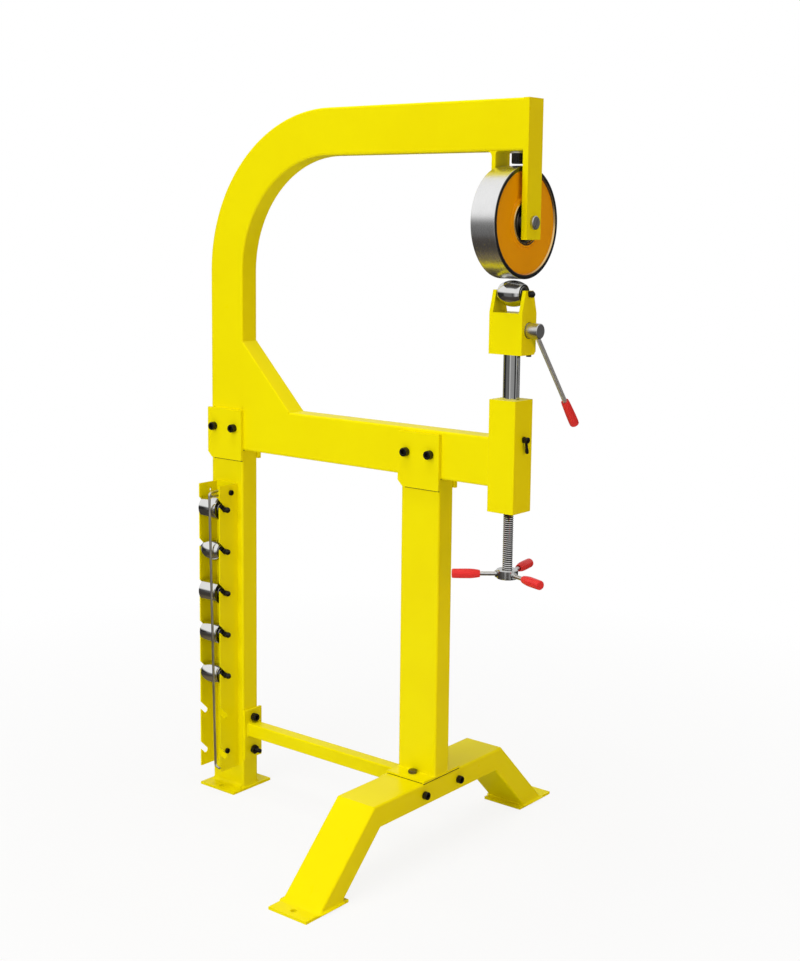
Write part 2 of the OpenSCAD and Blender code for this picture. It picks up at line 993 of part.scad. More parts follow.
module adjusting_screw() {
    color("gray")
        translate([throat_x, 0, hub_top - hub_handle_h])
            cylinder(r = screw_r, h = nut_top + ram_travel - hub_top + hub_handle_h);
}

module handle_places() {
    for (k = [0:2])
        translate([throat_x, 0, hub_mid])
            rotate([0, 0, handle_deg + 120 * k])
                children();
}

module handle_hub() {
    color("silver")
        difference() {
            translate([throat_x, 0, hub_top - hub_handle_h])
                cylinder(r = hub_handle_r, h = hub_handle_h);
            translate([throat_x, 0, hub_top - hub_handle_h - eps])
                cylinder(r = screw_r + seat, h = hub_handle_h + 2 * eps);
            handle_places()
                bar_x(rod_r + seat, screw_r + eps, handle_len);
        }
}

module handle_rods() {
    color("silver")
        handle_places()
            bar_x(rod_r, screw_r + 2 * eps, handle_len - grip_l / 2);
}

// Tapered grip along +X, with a round end at x = l and a blind bore
module grip(l, r0, r1, bore, bore_l) {
    rotate([0, 90, 0])
        difference() {
            rotate_extrude() {
                polygon([[0, 0], [r0, 0], [r1, l * 0.75], [r1, l - r1 / 2], [0, l - r1 / 2]]);
                intersection() {
                    translate([r1 / 2, l - r1 / 2])
                        circle(r1 / 2);
                    translate([0, l - r1 / 2])
                        square([r1, r1]);
                }
                translate([0, l - r1 / 2])
                    square([r1 / 2, r1 / 2]);
            }
            translate([0, 0, -eps])
                cylinder(r = bore + seat, h = bore_l + 2 * eps);
        }
}

module handle_grips() {
    color("crimson")
        handle_places()
            translate([handle_len - grip_l, 0, 0])
                grip(grip_l, rod_r + grip_root, rod_r + grip_swell, rod_r, grip_l / 2);
}

module clamp_lever() {
    face = housing_w / 2 + face_gap;
    color("black")
        translate([throat_x, 0, clamp_z]) {
            bar_x(clamp_r, ram_r - keyway_depth + face_gap, face + eps);
            bar_x(clamp_head_r, face, face + clamp_head_l);
            translate([face + clamp_head_l - clamp_arm_r - eps, 0, 0])
                rotate([clamp_arm_deg, 0, 0])
                    translate([0, 0, -clamp_arm_l])
                        cylinder(r = clamp_arm_r, h = clamp_arm_l);
        }
}

// Yoke and quick release

module at_anvil() {
    translate([throat_x, 0, anvil_z])
        children();
}

// Seen along +X: straight body with ears that narrow to their tops
function yoke_outline() = let (t = yoke_t / 2) [
    [-t, -yoke_below],
    [t - yoke_bevel, -yoke_below],
    [t, yoke_bevel - yoke_below],
    [t, -slot_below],
    [ear_top_w / 2, ear_above],
    [-ear_top_w / 2, ear_above],
    [-t, -slot_below]
];

module yoke() {
    notch = anvil_axle_r + seat;
    color(paint)
        at_anvil()
            difference() {
                translate([-yoke_w / 2, 0, 0])
                    rotate([90, 0, 90])
                        linear_extrude(yoke_w)
                            polygon(yoke_outline());
                translate([-yoke_in, -yoke_t, -slot_below])
                    cube([2 * yoke_in, 2 * yoke_t, 2 * slot_below]);
                bar_x(notch, -yoke_w, yoke_w);
                translate([-yoke_w, -notch, 0])
                    cube([2 * yoke_w, 2 * notch, 2 * ear_above]);
                translate([0, 0, -yoke_below - eps])
                    cylinder(r = ram_r + run, h = ram_bore_top - yoke_z + eps);
                translate([0, 0, -cam_below]) {
                    bar_x(cam_r + run, -ram_r, yoke_w);
                    bar_x(pilot_r + run, pilot_wall - yoke_w / 2, 0);
                }
                yoke_screw_place()
                    cylinder(r = guide_r + seat, h = guide_l + eps);
            }
}

module yoke_screw_place() {
    translate([yoke_w / 2 - guide_in_x, yoke_t / 2 - guide_in_y, -yoke_below])
        children();
}

module yoke_screw() {
    color("black")
        at_anvil()
            yoke_screw_place() {
                translate([0, 0, -guide_head_h])
                    cylinder(r = guide_head_r, h = guide_head_h);
                translate([0, 0, -eps])
                    cylinder(r = guide_r, h = guide_l);
            }
}

module cam_shaft() {
    out = yoke_w / 2;
    color("silver")
        translate([throat_x, 0, cam_z])
            difference() {
                union() {
                    bar_x(cam_r, ram_r + 2 * face_gap, out + cam_out);
                    rotate([lobe_deg, 0, 0])
                        translate([0, 0, -eccentric_e])
                            bar_x(eccentric_r, eps - ram_r, ram_r + eps);
                    bar_x(pilot_r, pilot_wall + eps - out, 0);
                }
                lever_place()
                    bar_x(lever_rod_r + seat, 0, 2 * cam_r);
            }
}

// Turns +X to the lever's direction, at the middle of the shaft's outer length
module lever_place() {
    translate([yoke_w / 2 + cam_out / 2, 0, 0])
        rotate([0, 0, 90])
            rotate([0, lever_deg, 0])
                children();
}

module lever_rod() {
    color("silver")
        translate([throat_x, 0, cam_z])
            lever_place()
                bar_x(lever_rod_r, eps, lever_len - lever_grip_l / 2);
}

module lever_grip() {
    color("crimson")
        translate([throat_x, 0, cam_z])
            lever_place()
                translate([lever_len - lever_grip_l, 0, 0])
                    grip(lever_grip_l, lever_rod_r + grip_root, lever_rod_r + lever_swell,
                        lever_rod_r, lever_grip_l / 2);
}

// Anvils: everything along X about the anvil's axis

module roller(crown) {
    r = anvil_d / 2;
    w = anvil_w / 2;
    bore = anvil_bearing_r + run;
    waist = bore - 3;
    difference() {
        rotate([0, 90, 0])
            rotate_extrude($fn = 96)
                intersection() {
                    translate([waist, -w])
                        square([r - waist + 1, 2 * w]);
                    translate([r - crown, 0])
                        circle(crown, $fn = crown > 150 ? 1440 : 360);
                }
        for (m = [0, 1])
            mirror([m, 0, 0])
                bar_x(bore, w - anvil_bearing_w - 1, w + eps);
    }
}

module axle() {
    rotate([0, 90, 0])
        rotate_extrude()
            difference() {
                union() {
                    square([2 * anvil_axle_r, 2 * anvil_axle_half], center = true);
                    for (s = [-1, 1])
                        translate([0, s * anvil_axle_half])
                            circle(axle_ball_r);
                }
                translate([-anvil_d, -anvil_axle_half - anvil_d])
                    square([anvil_d, 2 * (anvil_axle_half + anvil_d)]);
            }
}

module collar_nuts() {
    for (m = [0, 1])
        mirror([m, 0, 0])
            translate([anvil_w / 2 + face_gap, 0, 0])
                nut_x(anvil_axle_r, 0, collar_t);
}

module bearing_pair() {
    for (m = [0, 1])
        mirror([m, 0, 0])
            ring_x(anvil_bearing_r, anvil_axle_r + seat, anvil_w / 2 - anvil_bearing_w, anvil_w / 2);
}

module anvil_axle() {
    color("black") at_anvil() axle();
}

module anvil_nuts() {
    color("black") at_anvil() collar_nuts();
}

module anvil_bearings() {
    color("dimgray") at_anvil() bearing_pair();
}

module anvil_roller() {
    color("silver") at_anvil() roller(work_crown);
}

// Rack with its stored anvils

module at_seat(k) {
    translate([0, seat_y, seat_top_z - k * slot_pitch])
        children();
}

module slot_cut() {
    rotate([90, 0, 90])
        linear_extrude(2 * rack_w, center = true) {
            circle(slot_r);
            rotate(-slot_deg)
                translate([-2 * rack_depth, -slot_half])
                    square([2 * rack_depth, 2 * slot_half]);
        }
}

module rack_screw_place(low) {
    translate([
        rack_w / 2,
        low ? seat_y + low_screw_back : pivot_y,
        low ? low_seat_z + low_screw_up : pivot_z
    ])
        children();
}

module anvil_rack() {
    inner = rack_w - 2 * rack_sheet;
    color(paint)
        difference() {
            translate([-rack_w / 2, rack_edge, rack_z])
                cube([rack_w, rack_depth, rack_h]);
            translate([-inner / 2, rack_edge - eps, rack_z - eps])
                cube([inner, rack_depth - rack_sheet + eps, rack_h + 2 * eps]);
            for (k = [0:slots - 1])
                at_seat(k)
                    slot_cut();
            rack_screw_place(false)
                bar_x(rack_screw_r + seat, -2 * rack_w, eps);
            rack_screw_place(true)
                bar_x(rack_screw_r + seat, -rack_w / 2, eps);
        }
}

module rack_screws() {
    color("black") {
        rack_screw_place(false) {
            bar_x(rack_head_r, 0, rack_head_h);
            bar_x(rack_screw_r, -rack_screw_l, eps);
            nut_x(rack_screw_r, -rack_sheet - rack_nut_h, -rack_sheet);
            nut_x(rack_screw_r, -rack_screw_l, rack_nut_h - rack_screw_l);
        }
        rack_screw_place(true) {
            bar_x(rack_head_r, 0, rack_head_h);
            bar_x(rack_screw_r, -rack_sheet - rack_nut_h - eps, eps);
            nut_x(rack_screw_r, -rack_sheet - rack_nut_h, -rack_sheet);
        }
    }
}

module stored_roller(k) {
    color("silver") at_seat(k) roller(crowns[k]);
}

module stored_roller_1() { stored_roller(0); }
module stored_roller_2() { stored_roller(1); }
module stored_roller_3() { stored_roller(2); }
module stored_roller_4() { stored_roller(3); }
module stored_roller_5() { stored_roller(4); }

module stored_axles() {
    color("black")
        for (k = [0:stored - 1])
            at_seat(k) axle();
}

module stored_nuts() {
    color("black")
        for (k = [0:stored - 1])
            at_seat(k) collar_nuts();
}

module stored_bearings() {
    color("dimgray")
        for (k = [0:stored - 1])
            at_seat(k) bearing_pair();
}

// Straight round piece between two points
module strut(a, b, r) {
    d = b - a;
    flat = norm([d.x, d.y]);
    translate(a)
        rotate([0, atan2(flat, d.z), atan2(d.y, d.x)])
            cylinder(r = r, h = norm(d));
}

module retaining_rod() {
    top = [wire_top_x, wire_y, pivot_z];
    foot = [wire_foot_x, wire_y, wire_foot_z];
    toe = foot + [wire_foot_l, 0, -wire_foot_l / 3];
    color("gray") {
        strut([wire_top_x, pivot_y - eye_r, pivot_z], top, wire_r);
        translate(top) sphere(wire_r);
        strut(top, foot, wire_r);
        translate(foot) sphere(wire_r);
        strut(foot, toe, wire_r);
        translate([wire_top_x, pivot_y, pivot_z])
            rotate([0, 90, 0])
                rotate_extrude()
                    translate([eye_r, 0])
                        circle(wire_r, $fn = 32);
    }
}

upper_arm();
bend();
column();
gusset();
lower_arm();
fork_plates();
fork_screw();
slide_housing();
ram_bushes();
screw_nut();
rear_post();
rear_foot();
front_post();
front_base();
cheeks();
leg_beam();
legs();
leg_feet();
crossbar();
crossbar_plates();
saddle_screws();
saddle_nuts();
leg_screws();
leg_nuts();
crossbar_screws();
base_screws();
anvil_rack();
rack_screws();
wheel_axle();
axle_sleeve();
axle_nut();
wheel_rim();
wheel_discs();
wheel_hub();
wheel_bearings();
ram();
thrust_pad();
adjusting_screw();
handle_hub();
handle_rods();
handle_grips();
yoke();
yoke_screw();
anvil_axle();
anvil_nuts();
anvil_bearings();
anvil_roller();
cam_shaft();
lever_rod();
lever_grip();
clamp_lever();
retaining_rod();
stored_roller_1();
stored_roller_2();
stored_roller_3();
stored_roller_4();
stored_roller_5();
stored_axles();
stored_nuts();
stored_bearings();
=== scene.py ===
"""English wheel: a yellow tube frame with a fork, an upper wheel, a lower anvil on a ram,
and a rack of spare anvils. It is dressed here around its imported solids. Sizes of pieces are
in millimetres and everything else is in metres."""

import json
import math

import bmesh
import bpy
from mathutils import Matrix, Vector

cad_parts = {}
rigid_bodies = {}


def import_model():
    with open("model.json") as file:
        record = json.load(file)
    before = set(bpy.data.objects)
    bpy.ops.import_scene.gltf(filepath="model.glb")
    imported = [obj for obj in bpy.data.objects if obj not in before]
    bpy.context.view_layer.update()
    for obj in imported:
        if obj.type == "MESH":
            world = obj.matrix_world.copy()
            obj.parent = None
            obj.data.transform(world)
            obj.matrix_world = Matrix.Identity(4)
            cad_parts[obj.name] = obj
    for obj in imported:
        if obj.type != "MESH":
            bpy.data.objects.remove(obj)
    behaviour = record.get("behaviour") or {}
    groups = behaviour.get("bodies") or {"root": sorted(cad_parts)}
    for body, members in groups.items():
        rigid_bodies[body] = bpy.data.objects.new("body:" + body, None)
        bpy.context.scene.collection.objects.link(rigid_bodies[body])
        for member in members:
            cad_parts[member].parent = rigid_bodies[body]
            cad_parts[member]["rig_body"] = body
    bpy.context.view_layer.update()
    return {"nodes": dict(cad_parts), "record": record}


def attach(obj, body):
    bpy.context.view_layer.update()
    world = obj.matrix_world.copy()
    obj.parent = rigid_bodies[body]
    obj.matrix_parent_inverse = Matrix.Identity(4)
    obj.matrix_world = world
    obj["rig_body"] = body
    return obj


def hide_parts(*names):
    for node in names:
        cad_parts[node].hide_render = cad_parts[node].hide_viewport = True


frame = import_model()

# Camera: it stands off the machine's wheel end, level with the wheel's axle, and looks a
# little down. Its place, its turn and its lens come from the calibrated photograph.
camera = bpy.data.objects.new("camera", bpy.data.cameras.new("camera"))
bpy.context.scene.collection.objects.link(camera)
bpy.context.scene.camera = camera
camera_place = (2.3106, -2.3002, 1.2858)
azimuth, elevation, roll = math.radians(38.74), math.radians(7.77), math.radians(0.64)
back = Vector((math.sin(azimuth) * math.cos(elevation),
               -math.cos(azimuth) * math.cos(elevation), math.sin(elevation)))
turn = (-back).to_track_quat("-Z", "Y").to_matrix() @ Matrix.Rotation(roll, 3, "Z")
camera.matrix_world = Matrix.Translation(camera_place) @ turn.to_4x4()
camera.data.lens = 55.03
camera.data.shift_x = 0.00284
camera.data.shift_y = -0.0622
camera.data.clip_end = 100


class Wire:
    """A value between nodes: + - * / on it add Math nodes."""

    def __init__(self, nodes, socket):
        self.nodes, self.socket = nodes, socket

    def math(self, operation, *others):
        return self.nodes.node("ShaderNodeMath", {"operation": operation},
                               dict(enumerate((self, *others))))

    def __add__(self, other):
        return self.math("ADD", other)

    def __sub__(self, other):
        return self.math("SUBTRACT", other)

    def __mul__(self, other):
        return self.math("MULTIPLY", other)

    def __rsub__(self, other):
        return self.math("MULTIPLY", -1).math("ADD", other)

    __radd__ = __add__
    __rmul__ = __mul__


class Nodes:
    """A node tree that is written one node at a time."""

    def __init__(self, tree):
        self.tree = tree
        tree.nodes.clear()

    def feed(self, socket, value):
        if isinstance(value, Wire):
            self.tree.links.new(value.socket, socket)
        else:
            socket.default_value = value

    def node(self, kind, settings, inputs, output=0):
        made = self.tree.nodes.new(kind)
        for key, value in settings.items():
            if key == "stops":
                stops = made.color_ramp.elements
                while len(stops) < len(value):
                    stops.new(1)
                for stop, (at, level) in zip(stops, value):
                    stop.position, stop.color = at, (level, level, level, 1)
            else:
                setattr(made, key, value)
        for key, value in inputs.items():
            self.feed(made.inputs[key], value)
        return Wire(self, made.outputs[output]) if made.outputs else made

    def ramp(self, value, *stops):
        return self.node("ShaderNodeValToRGB", {"stops": stops}, {0: value})

    def ray(self, kind):
        return self.node("ShaderNodeLightPath", {}, {}, f"Is {kind} Ray")


class Finish(Nodes):
    """A material in the making: what is the same all over goes on the shader's sockets."""

    def __init__(self, name, constants):
        self.material = bpy.data.materials.new(name)
        self.material.use_nodes = True
        super().__init__(self.material.node_tree)
        self.shader = self.tree.nodes.new("ShaderNodeBsdfPrincipled")
        self.out = self.tree.nodes.new("ShaderNodeOutputMaterial")
        self.tree.links.new(self.shader.outputs[0], self.out.inputs[0])
        for socket, value in constants.items():
            self.feed(self.shader.inputs[socket], value)

    def place(self, stretch=(1, 1, 1), middle=(0, 0, 0)):
        """Object coordinates, from a middle and then stretched."""
        point = self.node("ShaderNodeTexCoord", {}, {}, "Object")
        point = self.node("ShaderNodeVectorMath", {"operation": "SUBTRACT"}, {0: point, 1: middle})
        return self.node("ShaderNodeVectorMath", {"operation": "MULTIPLY"}, {0: point, 1: stretch})

    def reach(self, stretch=(1, 1, 1), middle=(0, 0, 0)):
        """Distance from that middle."""
        return self.node("ShaderNodeVectorMath", {"operation": "LENGTH"},
                         {0: self.place(stretch, middle)}, 1)

    def noise(self, scale, detail=2, point=None):
        return self.node("ShaderNodeTexNoise", {}, {
            "Vector": point or self.place(), "Scale": scale, "Detail": detail})

    def blend(self, share, low, high):
        """A colour between two colours."""
        return self.node("ShaderNodeMix", {"data_type": "RGBA"}, {
            0: share, 6: (*low, 1) if isinstance(low, tuple) else low,
            7: (*high, 1) if isinstance(high, tuple) else high}, 2)

    def bump(self, height, distance):
        return self.node("ShaderNodeBump", {}, {"Distance": distance, "Height": height})

    def done(self, **links):
        """The material, once what changes over its surface is linked."""
        for socket, value in links.items():
            self.feed(self.shader.inputs[socket.replace("_", " ")], value)
        return self.material


# Studio: a white floor that runs out into a white surround, a high and a low soft lamp at the
# front, one above and a weaker warm one at the right. Grey and dark screens stand low round
# the room, and a dark sheet lies on the floor. Only what is polished shows them.
def laid(name, height, finish):
    """A wide flat sheet of the studio, under the machine and round it."""
    data = bpy.data.meshes.new(name)
    data.from_pydata([(x, y, height) for x, y in ((-2, -2.4), (2.7, -2.4), (2.7, 2.4), (-2, 2.4))],
                     [], [(0, 1, 2, 3)])
    data.materials.append(finish)
    made = bpy.data.objects.new(name, data)
    bpy.context.scene.collection.objects.link(made)
    return made


ground = Finish("floor_white", {"Base Color": (0.75, 0.75, 0.75, 1), "Roughness": 0.7,
                                "Specular IOR Level": 0.1})
outwards = ground.reach(middle=(0.35, 0, 0))
seen = ground.ray("Camera").math("MAXIMUM", ground.ray("Glossy"))
white_share = seen * ground.ramp(outwards * 0.25, (0.15, 0.88), (0.5, 1.0))
ground.feed(ground.out.inputs[0], ground.node("ShaderNodeMixShader", {}, {
    0: white_share, 1: Wire(ground, ground.shader.outputs[0]),
    2: ground.node("ShaderNodeEmission", {}, {})}))
laid("floor", 0, ground.material)

felt = Finish("dark_sheet", {"Roughness": 0.9, "Specular IOR Level": 0.05})
# Near the machine the sheet is painted lighter and warmer: a painted reflection of light thrown
# back by the yellow machine.
far = felt.reach(middle=(0.05, -0.1, 0)) + 0.3 * felt.noise(3, 3)
felt.done(Base_Color=felt.blend(felt.ramp(far, (0.5, 0), (0.95, 1)), (0.18, 0.15, 0.095),
                                (0.055, 0.05, 0.046)))
sheet = laid("dark_sheet", 0.002, felt.material)
sheet.visible_camera = sheet.visible_diffuse = sheet.visible_shadow = False

world = bpy.data.worlds.new("surround")
bpy.context.scene.world = world
world.use_nodes = True
sky = Nodes(world.node_tree)
way = sky.node("ShaderNodeTexCoord", {}, {}, "Generated")
east, north, high = (sky.node("ShaderNodeSeparateXYZ", {}, {0: way}, k) for k in "XYZ")
# Once round the room is 0 at -X, 0.25 at -Y, 0.5 at +X and 0.75 at +Y. A stop is a place and
# how bright it is there.
around = north.math("ARCTAN2", east) * (0.5 / math.pi) + 0.5
screens = sky.ramp(around, (0.0, 0.02), (0.115, 0.03), (0.135, 0.17), (0.225, 0.17),
                   (0.25, 0.06), (0.29, 0.75), (0.32, 0.36), (0.455, 0.33), (0.47, 0.02),
                   (0.515, 0.02), (0.53, 0.6), (0.55, 0.45), (0.57, 0.04), (0.86, 0.04),
                   (0.9, 0.3), (0.96, 0.2))
ceiling = sky.ramp(around, (0.55, 1), (0.6, 0.7), (0.8, 0.6), (0.9, 0.85), (1, 1))
above = sky.ramp(high * 0.5 + 0.5, (0.51, 0), (0.59, 1))
in_mirrors = above * ceiling + (1 - above) * screens
direct = sky.ray("Camera").math("MAXIMUM", sky.ray("Transmission"))
glossy = sky.ray("Glossy")
ambient = 0.3
level = direct + (1 - direct) * (glossy * in_mirrors + (1 - glossy) * ambient)
warm = sky.node("ShaderNodeMix", {"data_type": "RGBA"}, {
    0: direct.math("MAXIMUM", glossy), 6: (1, 0.89, 0.76, 1), 7: (1, 1, 1, 1)}, 2)
sky.node("ShaderNodeOutputWorld", {}, {
    0: sky.node("ShaderNodeBackground", {}, {0: warm, 1: level})})
bpy.context.scene.view_settings.view_transform = "Standard"


def lamp(name, spot, aim, width, level, tint=(1, 1, 1)):
    """A square lamp that lights a white face at its aim to about that level."""
    data = bpy.data.lights.new(name, "AREA")
    data.size = width
    data.color = tint
    away = Vector(spot) - Vector(aim)
    data.energy = level * math.pi ** 2 * away.length_squared
    made = bpy.data.objects.new(name, data)
    made.matrix_world = (Matrix.Translation(spot)
                         @ away.to_track_quat("Z", "Y").to_matrix().to_4x4())
    made.visible_glossy = False
    bpy.context.scene.collection.objects.link(made)


lamp("high_lamp", (0.1, -3.8, 2.6), (0.4, 0, 0.3), 2.0, 0.27)
lamp("low_lamp", (0.9, -4.0, 0.6), (0.4, 0, 0.4), 2.0, 0.19)
lamp("top_lamp", (0.4, -0.6, 6.5), (0.4, 0, 0.3), 4.0, 0.6)
lamp("right_lamp", (8.0, 0.2, 0.8), (0.3, 0, 0.2), 3.5, 0.2, (1, 0.68, 0.3))


# Frame: box tube, sawn, bent, welded and ground flush, with a gusset in the lower corner and
# a fork of two plates for the wheel. One sprayed coat of yellow enamel runs over its seams.
slots = {row["node"]: row["material_slot"] for row in frame["record"]["subparts"]}


def enamel(name, colour, shade):
    """Sprayed paint: a little cloudy, with a fine orange peel."""
    peel = 0.00005
    made = Finish(name, {"Specular IOR Level": 0.1, "IOR": 1.45})
    cloud = made.noise(5, 3)
    hue = made.blend(made.ramp(cloud, (0.38, 0), (0.68, 1)), colour, shade)
    return made.done(Base_Color=hue, Roughness=0.26 + 0.12 * made.noise(28, 2) - 0.03 * cloud,
                     Normal=made.bump(made.noise(330, 1.5), peel))


yellow = enamel("yellow_enamel", (0.92, 0.82, 0.0), (0.9, 0.785, 0.0))


def closed(mesh, name):
    """Mesh data from a bmesh, with its doubles merged and its faces outwards."""
    bmesh.ops.remove_doubles(mesh, verts=mesh.verts, dist=2e-6)
    bmesh.ops.recalc_face_normals(mesh, faces=mesh.faces)
    data = bpy.data.meshes.new(name)
    mesh.to_mesh(data)
    mesh.free()
    if "custom_normal" in data.attributes:
        data.attributes.remove(data.attributes["custom_normal"])
    return data


def finished(name, shape, finish, body, slot, *nodes, sharp=32):
    """A piece from a bmesh or from mesh data: smooth but for its sharp edges, riding on its
    body and standing for its solids."""
    data = closed(shape, name) if isinstance(shape, bmesh.types.BMesh) else shape
    made = bpy.data.objects.new(name, data)
    bpy.context.scene.collection.objects.link(made)
    data.materials.clear()
    data.materials.append(finish)
    data.polygons.foreach_set("use_smooth", [True] * len(data.polygons))
    data.set_sharp_from_angle(angle=math.radians(sharp))
    made.modifiers.new("flat_faces", "WEIGHTED_NORMAL").keep_sharp = True
    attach(made, body)
    if nodes:
        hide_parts(*nodes)


def coated(name, node, finish, soften=0.0, along=None, steps=2):
    """A solid's own shape under its coat, with its edges, or those along a way, rounded."""
    mesh = bmesh.new()
    mesh.from_mesh(frame["nodes"][node].data)
    bmesh.ops.remove_doubles(mesh, verts=mesh.verts, dist=2e-6)
    bmesh.ops.dissolve_limit(mesh, angle_limit=0.004, verts=mesh.verts, edges=mesh.edges)
    if soften:
        edges = [e for e in mesh.edges if e.is_manifold and e.calc_face_angle() > 0.6 and (
            along is None or any(abs((e.verts[1].co - e.verts[0].co).normalized().dot(
                Vector(way).normalized())) > 0.999 for way in along))]
        bmesh.ops.bevel(mesh, geom=edges, offset=soften / 1000, offset_type="OFFSET",
                        segments=steps, profile=0.5, affect="EDGES", clamp_overlap=True)
    finished(name, mesh, finish, frame["nodes"][node]["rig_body"], slots[node], node)


for node in ("upper_arm", "bend", "column", "lower_arm"):
    coated(f"frame_{node}", node, yellow)
coated("frame_gusset", "gusset", yellow, 3.0, [(140, 0, -144)], 3)
coated("fork_ears", "fork_plates", yellow, 1.6, steps=3)
coated("slide_housing_shell", "slide_housing", yellow, 0.8)


def swept(outline, start, end, right, up, mesh=None):
    """A straight prism: outline points go right and up from the line from start to end."""
    mesh = mesh or bmesh.new()
    ends = [[mesh.verts.new((Vector(place) + Vector(right) * a + Vector(up) * b) / 1000)
             for a, b in outline] for place in (start, end)]
    for k in range(len(outline)):
        j = (k + 1) % len(outline)
        mesh.faces.new([ends[0][k], ends[0][j], ends[1][j], ends[1][k]])
    mesh.faces.new(ends[0])
    mesh.faces.new(list(reversed(ends[1])))
    return mesh


def cove(leg):
    """Outline of a painted weld in a corner: hollow, with its back a little in both walls."""
    sink, steps = 0.6, 6
    arc = [(leg * (1 - math.sin(a)), leg * (1 - math.cos(a)))
           for a in (math.pi / 2 * k / steps for k in range(steps + 1))]
    return [(leg, -sink), *arc, (-sink, -sink)]


# Half the tube's section, the throat's depth, the lower arm's edges, the upper arm's
# underside, the ear's two faces, the housing's face and the gusset's two ends.
tube_x, tube_y, throat, arm_low, arm_high, neck = 48, 23.5, 742, 781, 877, 1415.5
ear_back, ear_front, housing_back, gusset_x, gusset_z = 702.5, 711.5, 711.75, 186, 1019
weld = bmesh.new()
for leg, x, half, z, right, up in ((11, ear_back, 23.3, neck, -1, -1),
                                   (5, ear_front, 23.3, neck, 1, -1),
                                   (4, housing_back, 23, arm_high, -1, 1),
                                   (4, housing_back, 23, arm_low, -1, -1)):
    swept(cove(leg), (x, -half, z), (x, half, z), (right, 0, 0), (0, 0, up), weld)
for side in (-1, 1):
    y = tube_y * side
    swept(cove(4), (housing_back, y, arm_low + 1), (housing_back, y, arm_high - 1),
          (-1, 0, 0), (0, side, 0), weld)
    swept([(0.03, -5.6), (0.03, 1.2), (-6, 1.2), (-6, -5.6)], (tube_x, y, arm_high),
          (gusset_x, y, arm_high), (0, side, 0), (0, 0, 1), weld)
    swept([(-5.6, 0.03), (1.2, 0.03), (1.2, -6), (-5.6, -6)], (tube_x, y, arm_low + 2),
          (tube_x, y, gusset_z), (1, 0, 0), (0, side, 0), weld)
finished("frame_welds", weld, yellow, "frame", "yellow_paint", sharp=50)


# Slide housing's lid: a square steel plate, painted in place, that keeps chips off the
# bushes. It lies in the top of the housing and the ram passes through its round hole.
def joined_round(mesh, rings):
    """Faces from each ring of corners to the next, and from the last to the first."""
    for one, two in zip(rings, rings[1:] + rings[:1]):
        for k in range(len(one)):
            j = (k + 1) % len(one)
            mesh.faces.new([one[k], one[j], two[j], two[k]])


lid_half, lid_bore, lid_sheet, lid_low = 25.4, 16.3, 3, 947.9
lid, rings = bmesh.new(), []
for square, z in ((False, 0), (True, 0), (True, lid_sheet), (False, lid_sheet)):
    ring = []
    for angle in (math.tau * k / 64 for k in range(64)):
        a, b = math.cos(angle), math.sin(angle)
        reach = lid_half / max(abs(a), abs(b)) if square else lid_bore
        ring.append(lid.verts.new((Vector((throat, 0, lid_low))
                                   + Vector((reach * a, reach * b, z))) / 1000))
    rings.append(ring)
joined_round(lid, rings)
finished("housing_lid", lid, yellow, "frame", "yellow_paint")


# Stand: two posts of the same box tube, a beam with two mitred legs, foot plates and cheek
# plates, all welded, with painted weld fillets where a post or a leg meets its plate.
for node, soften in (("rear_post", 0), ("front_post", 0), ("cheeks", 1.0), ("rear_foot", 1.0),
                     ("front_base", 0.8), ("leg_feet", 1.0), ("crossbar", 0),
                     ("crossbar_plates", 0.8)):
    coated(f"stand_{node}", node, yellow, soften)
coated("stand_beam", "leg_beam", yellow, 4.5, [(0, 1, 0)], 4)
coated("stand_legs", "legs", yellow, 4.5, [(0, 1, -1), (0, 1, 1)], 4)


def rounded_rectangle(half_a, half_b, corner):
    """Points round a rectangle, anticlockwise."""
    steps = 5
    return [(sa * (half_a - corner) + corner * math.cos(turn),
             sb * (half_b - corner) + corner * math.sin(turn))
            for quarter, (sa, sb) in enumerate(((1, 1), (-1, 1), (-1, -1), (1, -1)))
            for turn in (math.pi / 2 * (quarter + k / steps) for k in range(steps + 1))]


def weld_round(mesh, middle, half_a, half_b, corner, leg, a=(1, 0, 0), b=(0, 1, 0), up=(0, 0, 1),
               lean=(0, 0, 0)):
    """A weld fillet round a tube's end, on the plate that the tube stands on."""
    rings = []
    for out, rise in cove(leg):
        points = rounded_rectangle(half_a + out, half_b + out, corner + out)
        rings.append([mesh.verts.new((Vector(middle) + Vector(a) * p + Vector(b) * q
                                      + (Vector(up) + Vector(lean)) * rise) / 1000)
                      for p, q in points])
    joined_round(mesh, rings)


# The foot plates' thickness, the front post's line, its base plate's top, the legs' place and
# half width on their plates, and the height, half size and two ends of the crossbar.
foot, front, base_top, leg_y, leg_half = 6, 544, 169.5, 339.25, 33.25
bar_z, bar_half, bar_start, bar_end = 141, 15, 54, 490
weld = bmesh.new()
weld_round(weld, (0, 0, foot), tube_x, tube_y, 5, 4.6)
for side in (-1, 1):
    y = side * tube_y
    swept(cove(9), (-45, y, foot), (45, y, foot), (0, side, 0), (0, 0, 1), weld)
weld_round(weld, (front, 0, base_top), tube_x, tube_y, 5, 2.5)
for x, way in ((bar_start, 1), (bar_end, -1)):
    weld_round(weld, (x, 0, bar_z), bar_half, bar_half, 3, 3.5, (0, 1, 0), (0, 0, 1), (way, 0, 0))
for side in (-1, 1):
    weld_round(weld, (front, side * leg_y, foot), tube_x, leg_half, 5, 6, lean=(0, -side, 0))
finished("stand_welds", weld, yellow, "frame", "yellow_paint", sharp=50)


# Screws: socket head cap screws, turned and rolled, with a knurled side and a hexagon socket,
# blacked. One head is made once, and nodes set it at every screw's place.
black = Finish("black_oxide", {"Specular IOR Level": 0.28})
smut = black.noise(180, 3)
black = black.done(Base_Color=black.blend(smut, (0.003, 0.003, 0.0035), (0.011, 0.01, 0.009)),
                   Roughness=0.16 + 0.22 * smut,
                   Normal=black.bump(black.noise(900, 1), 0.00002))


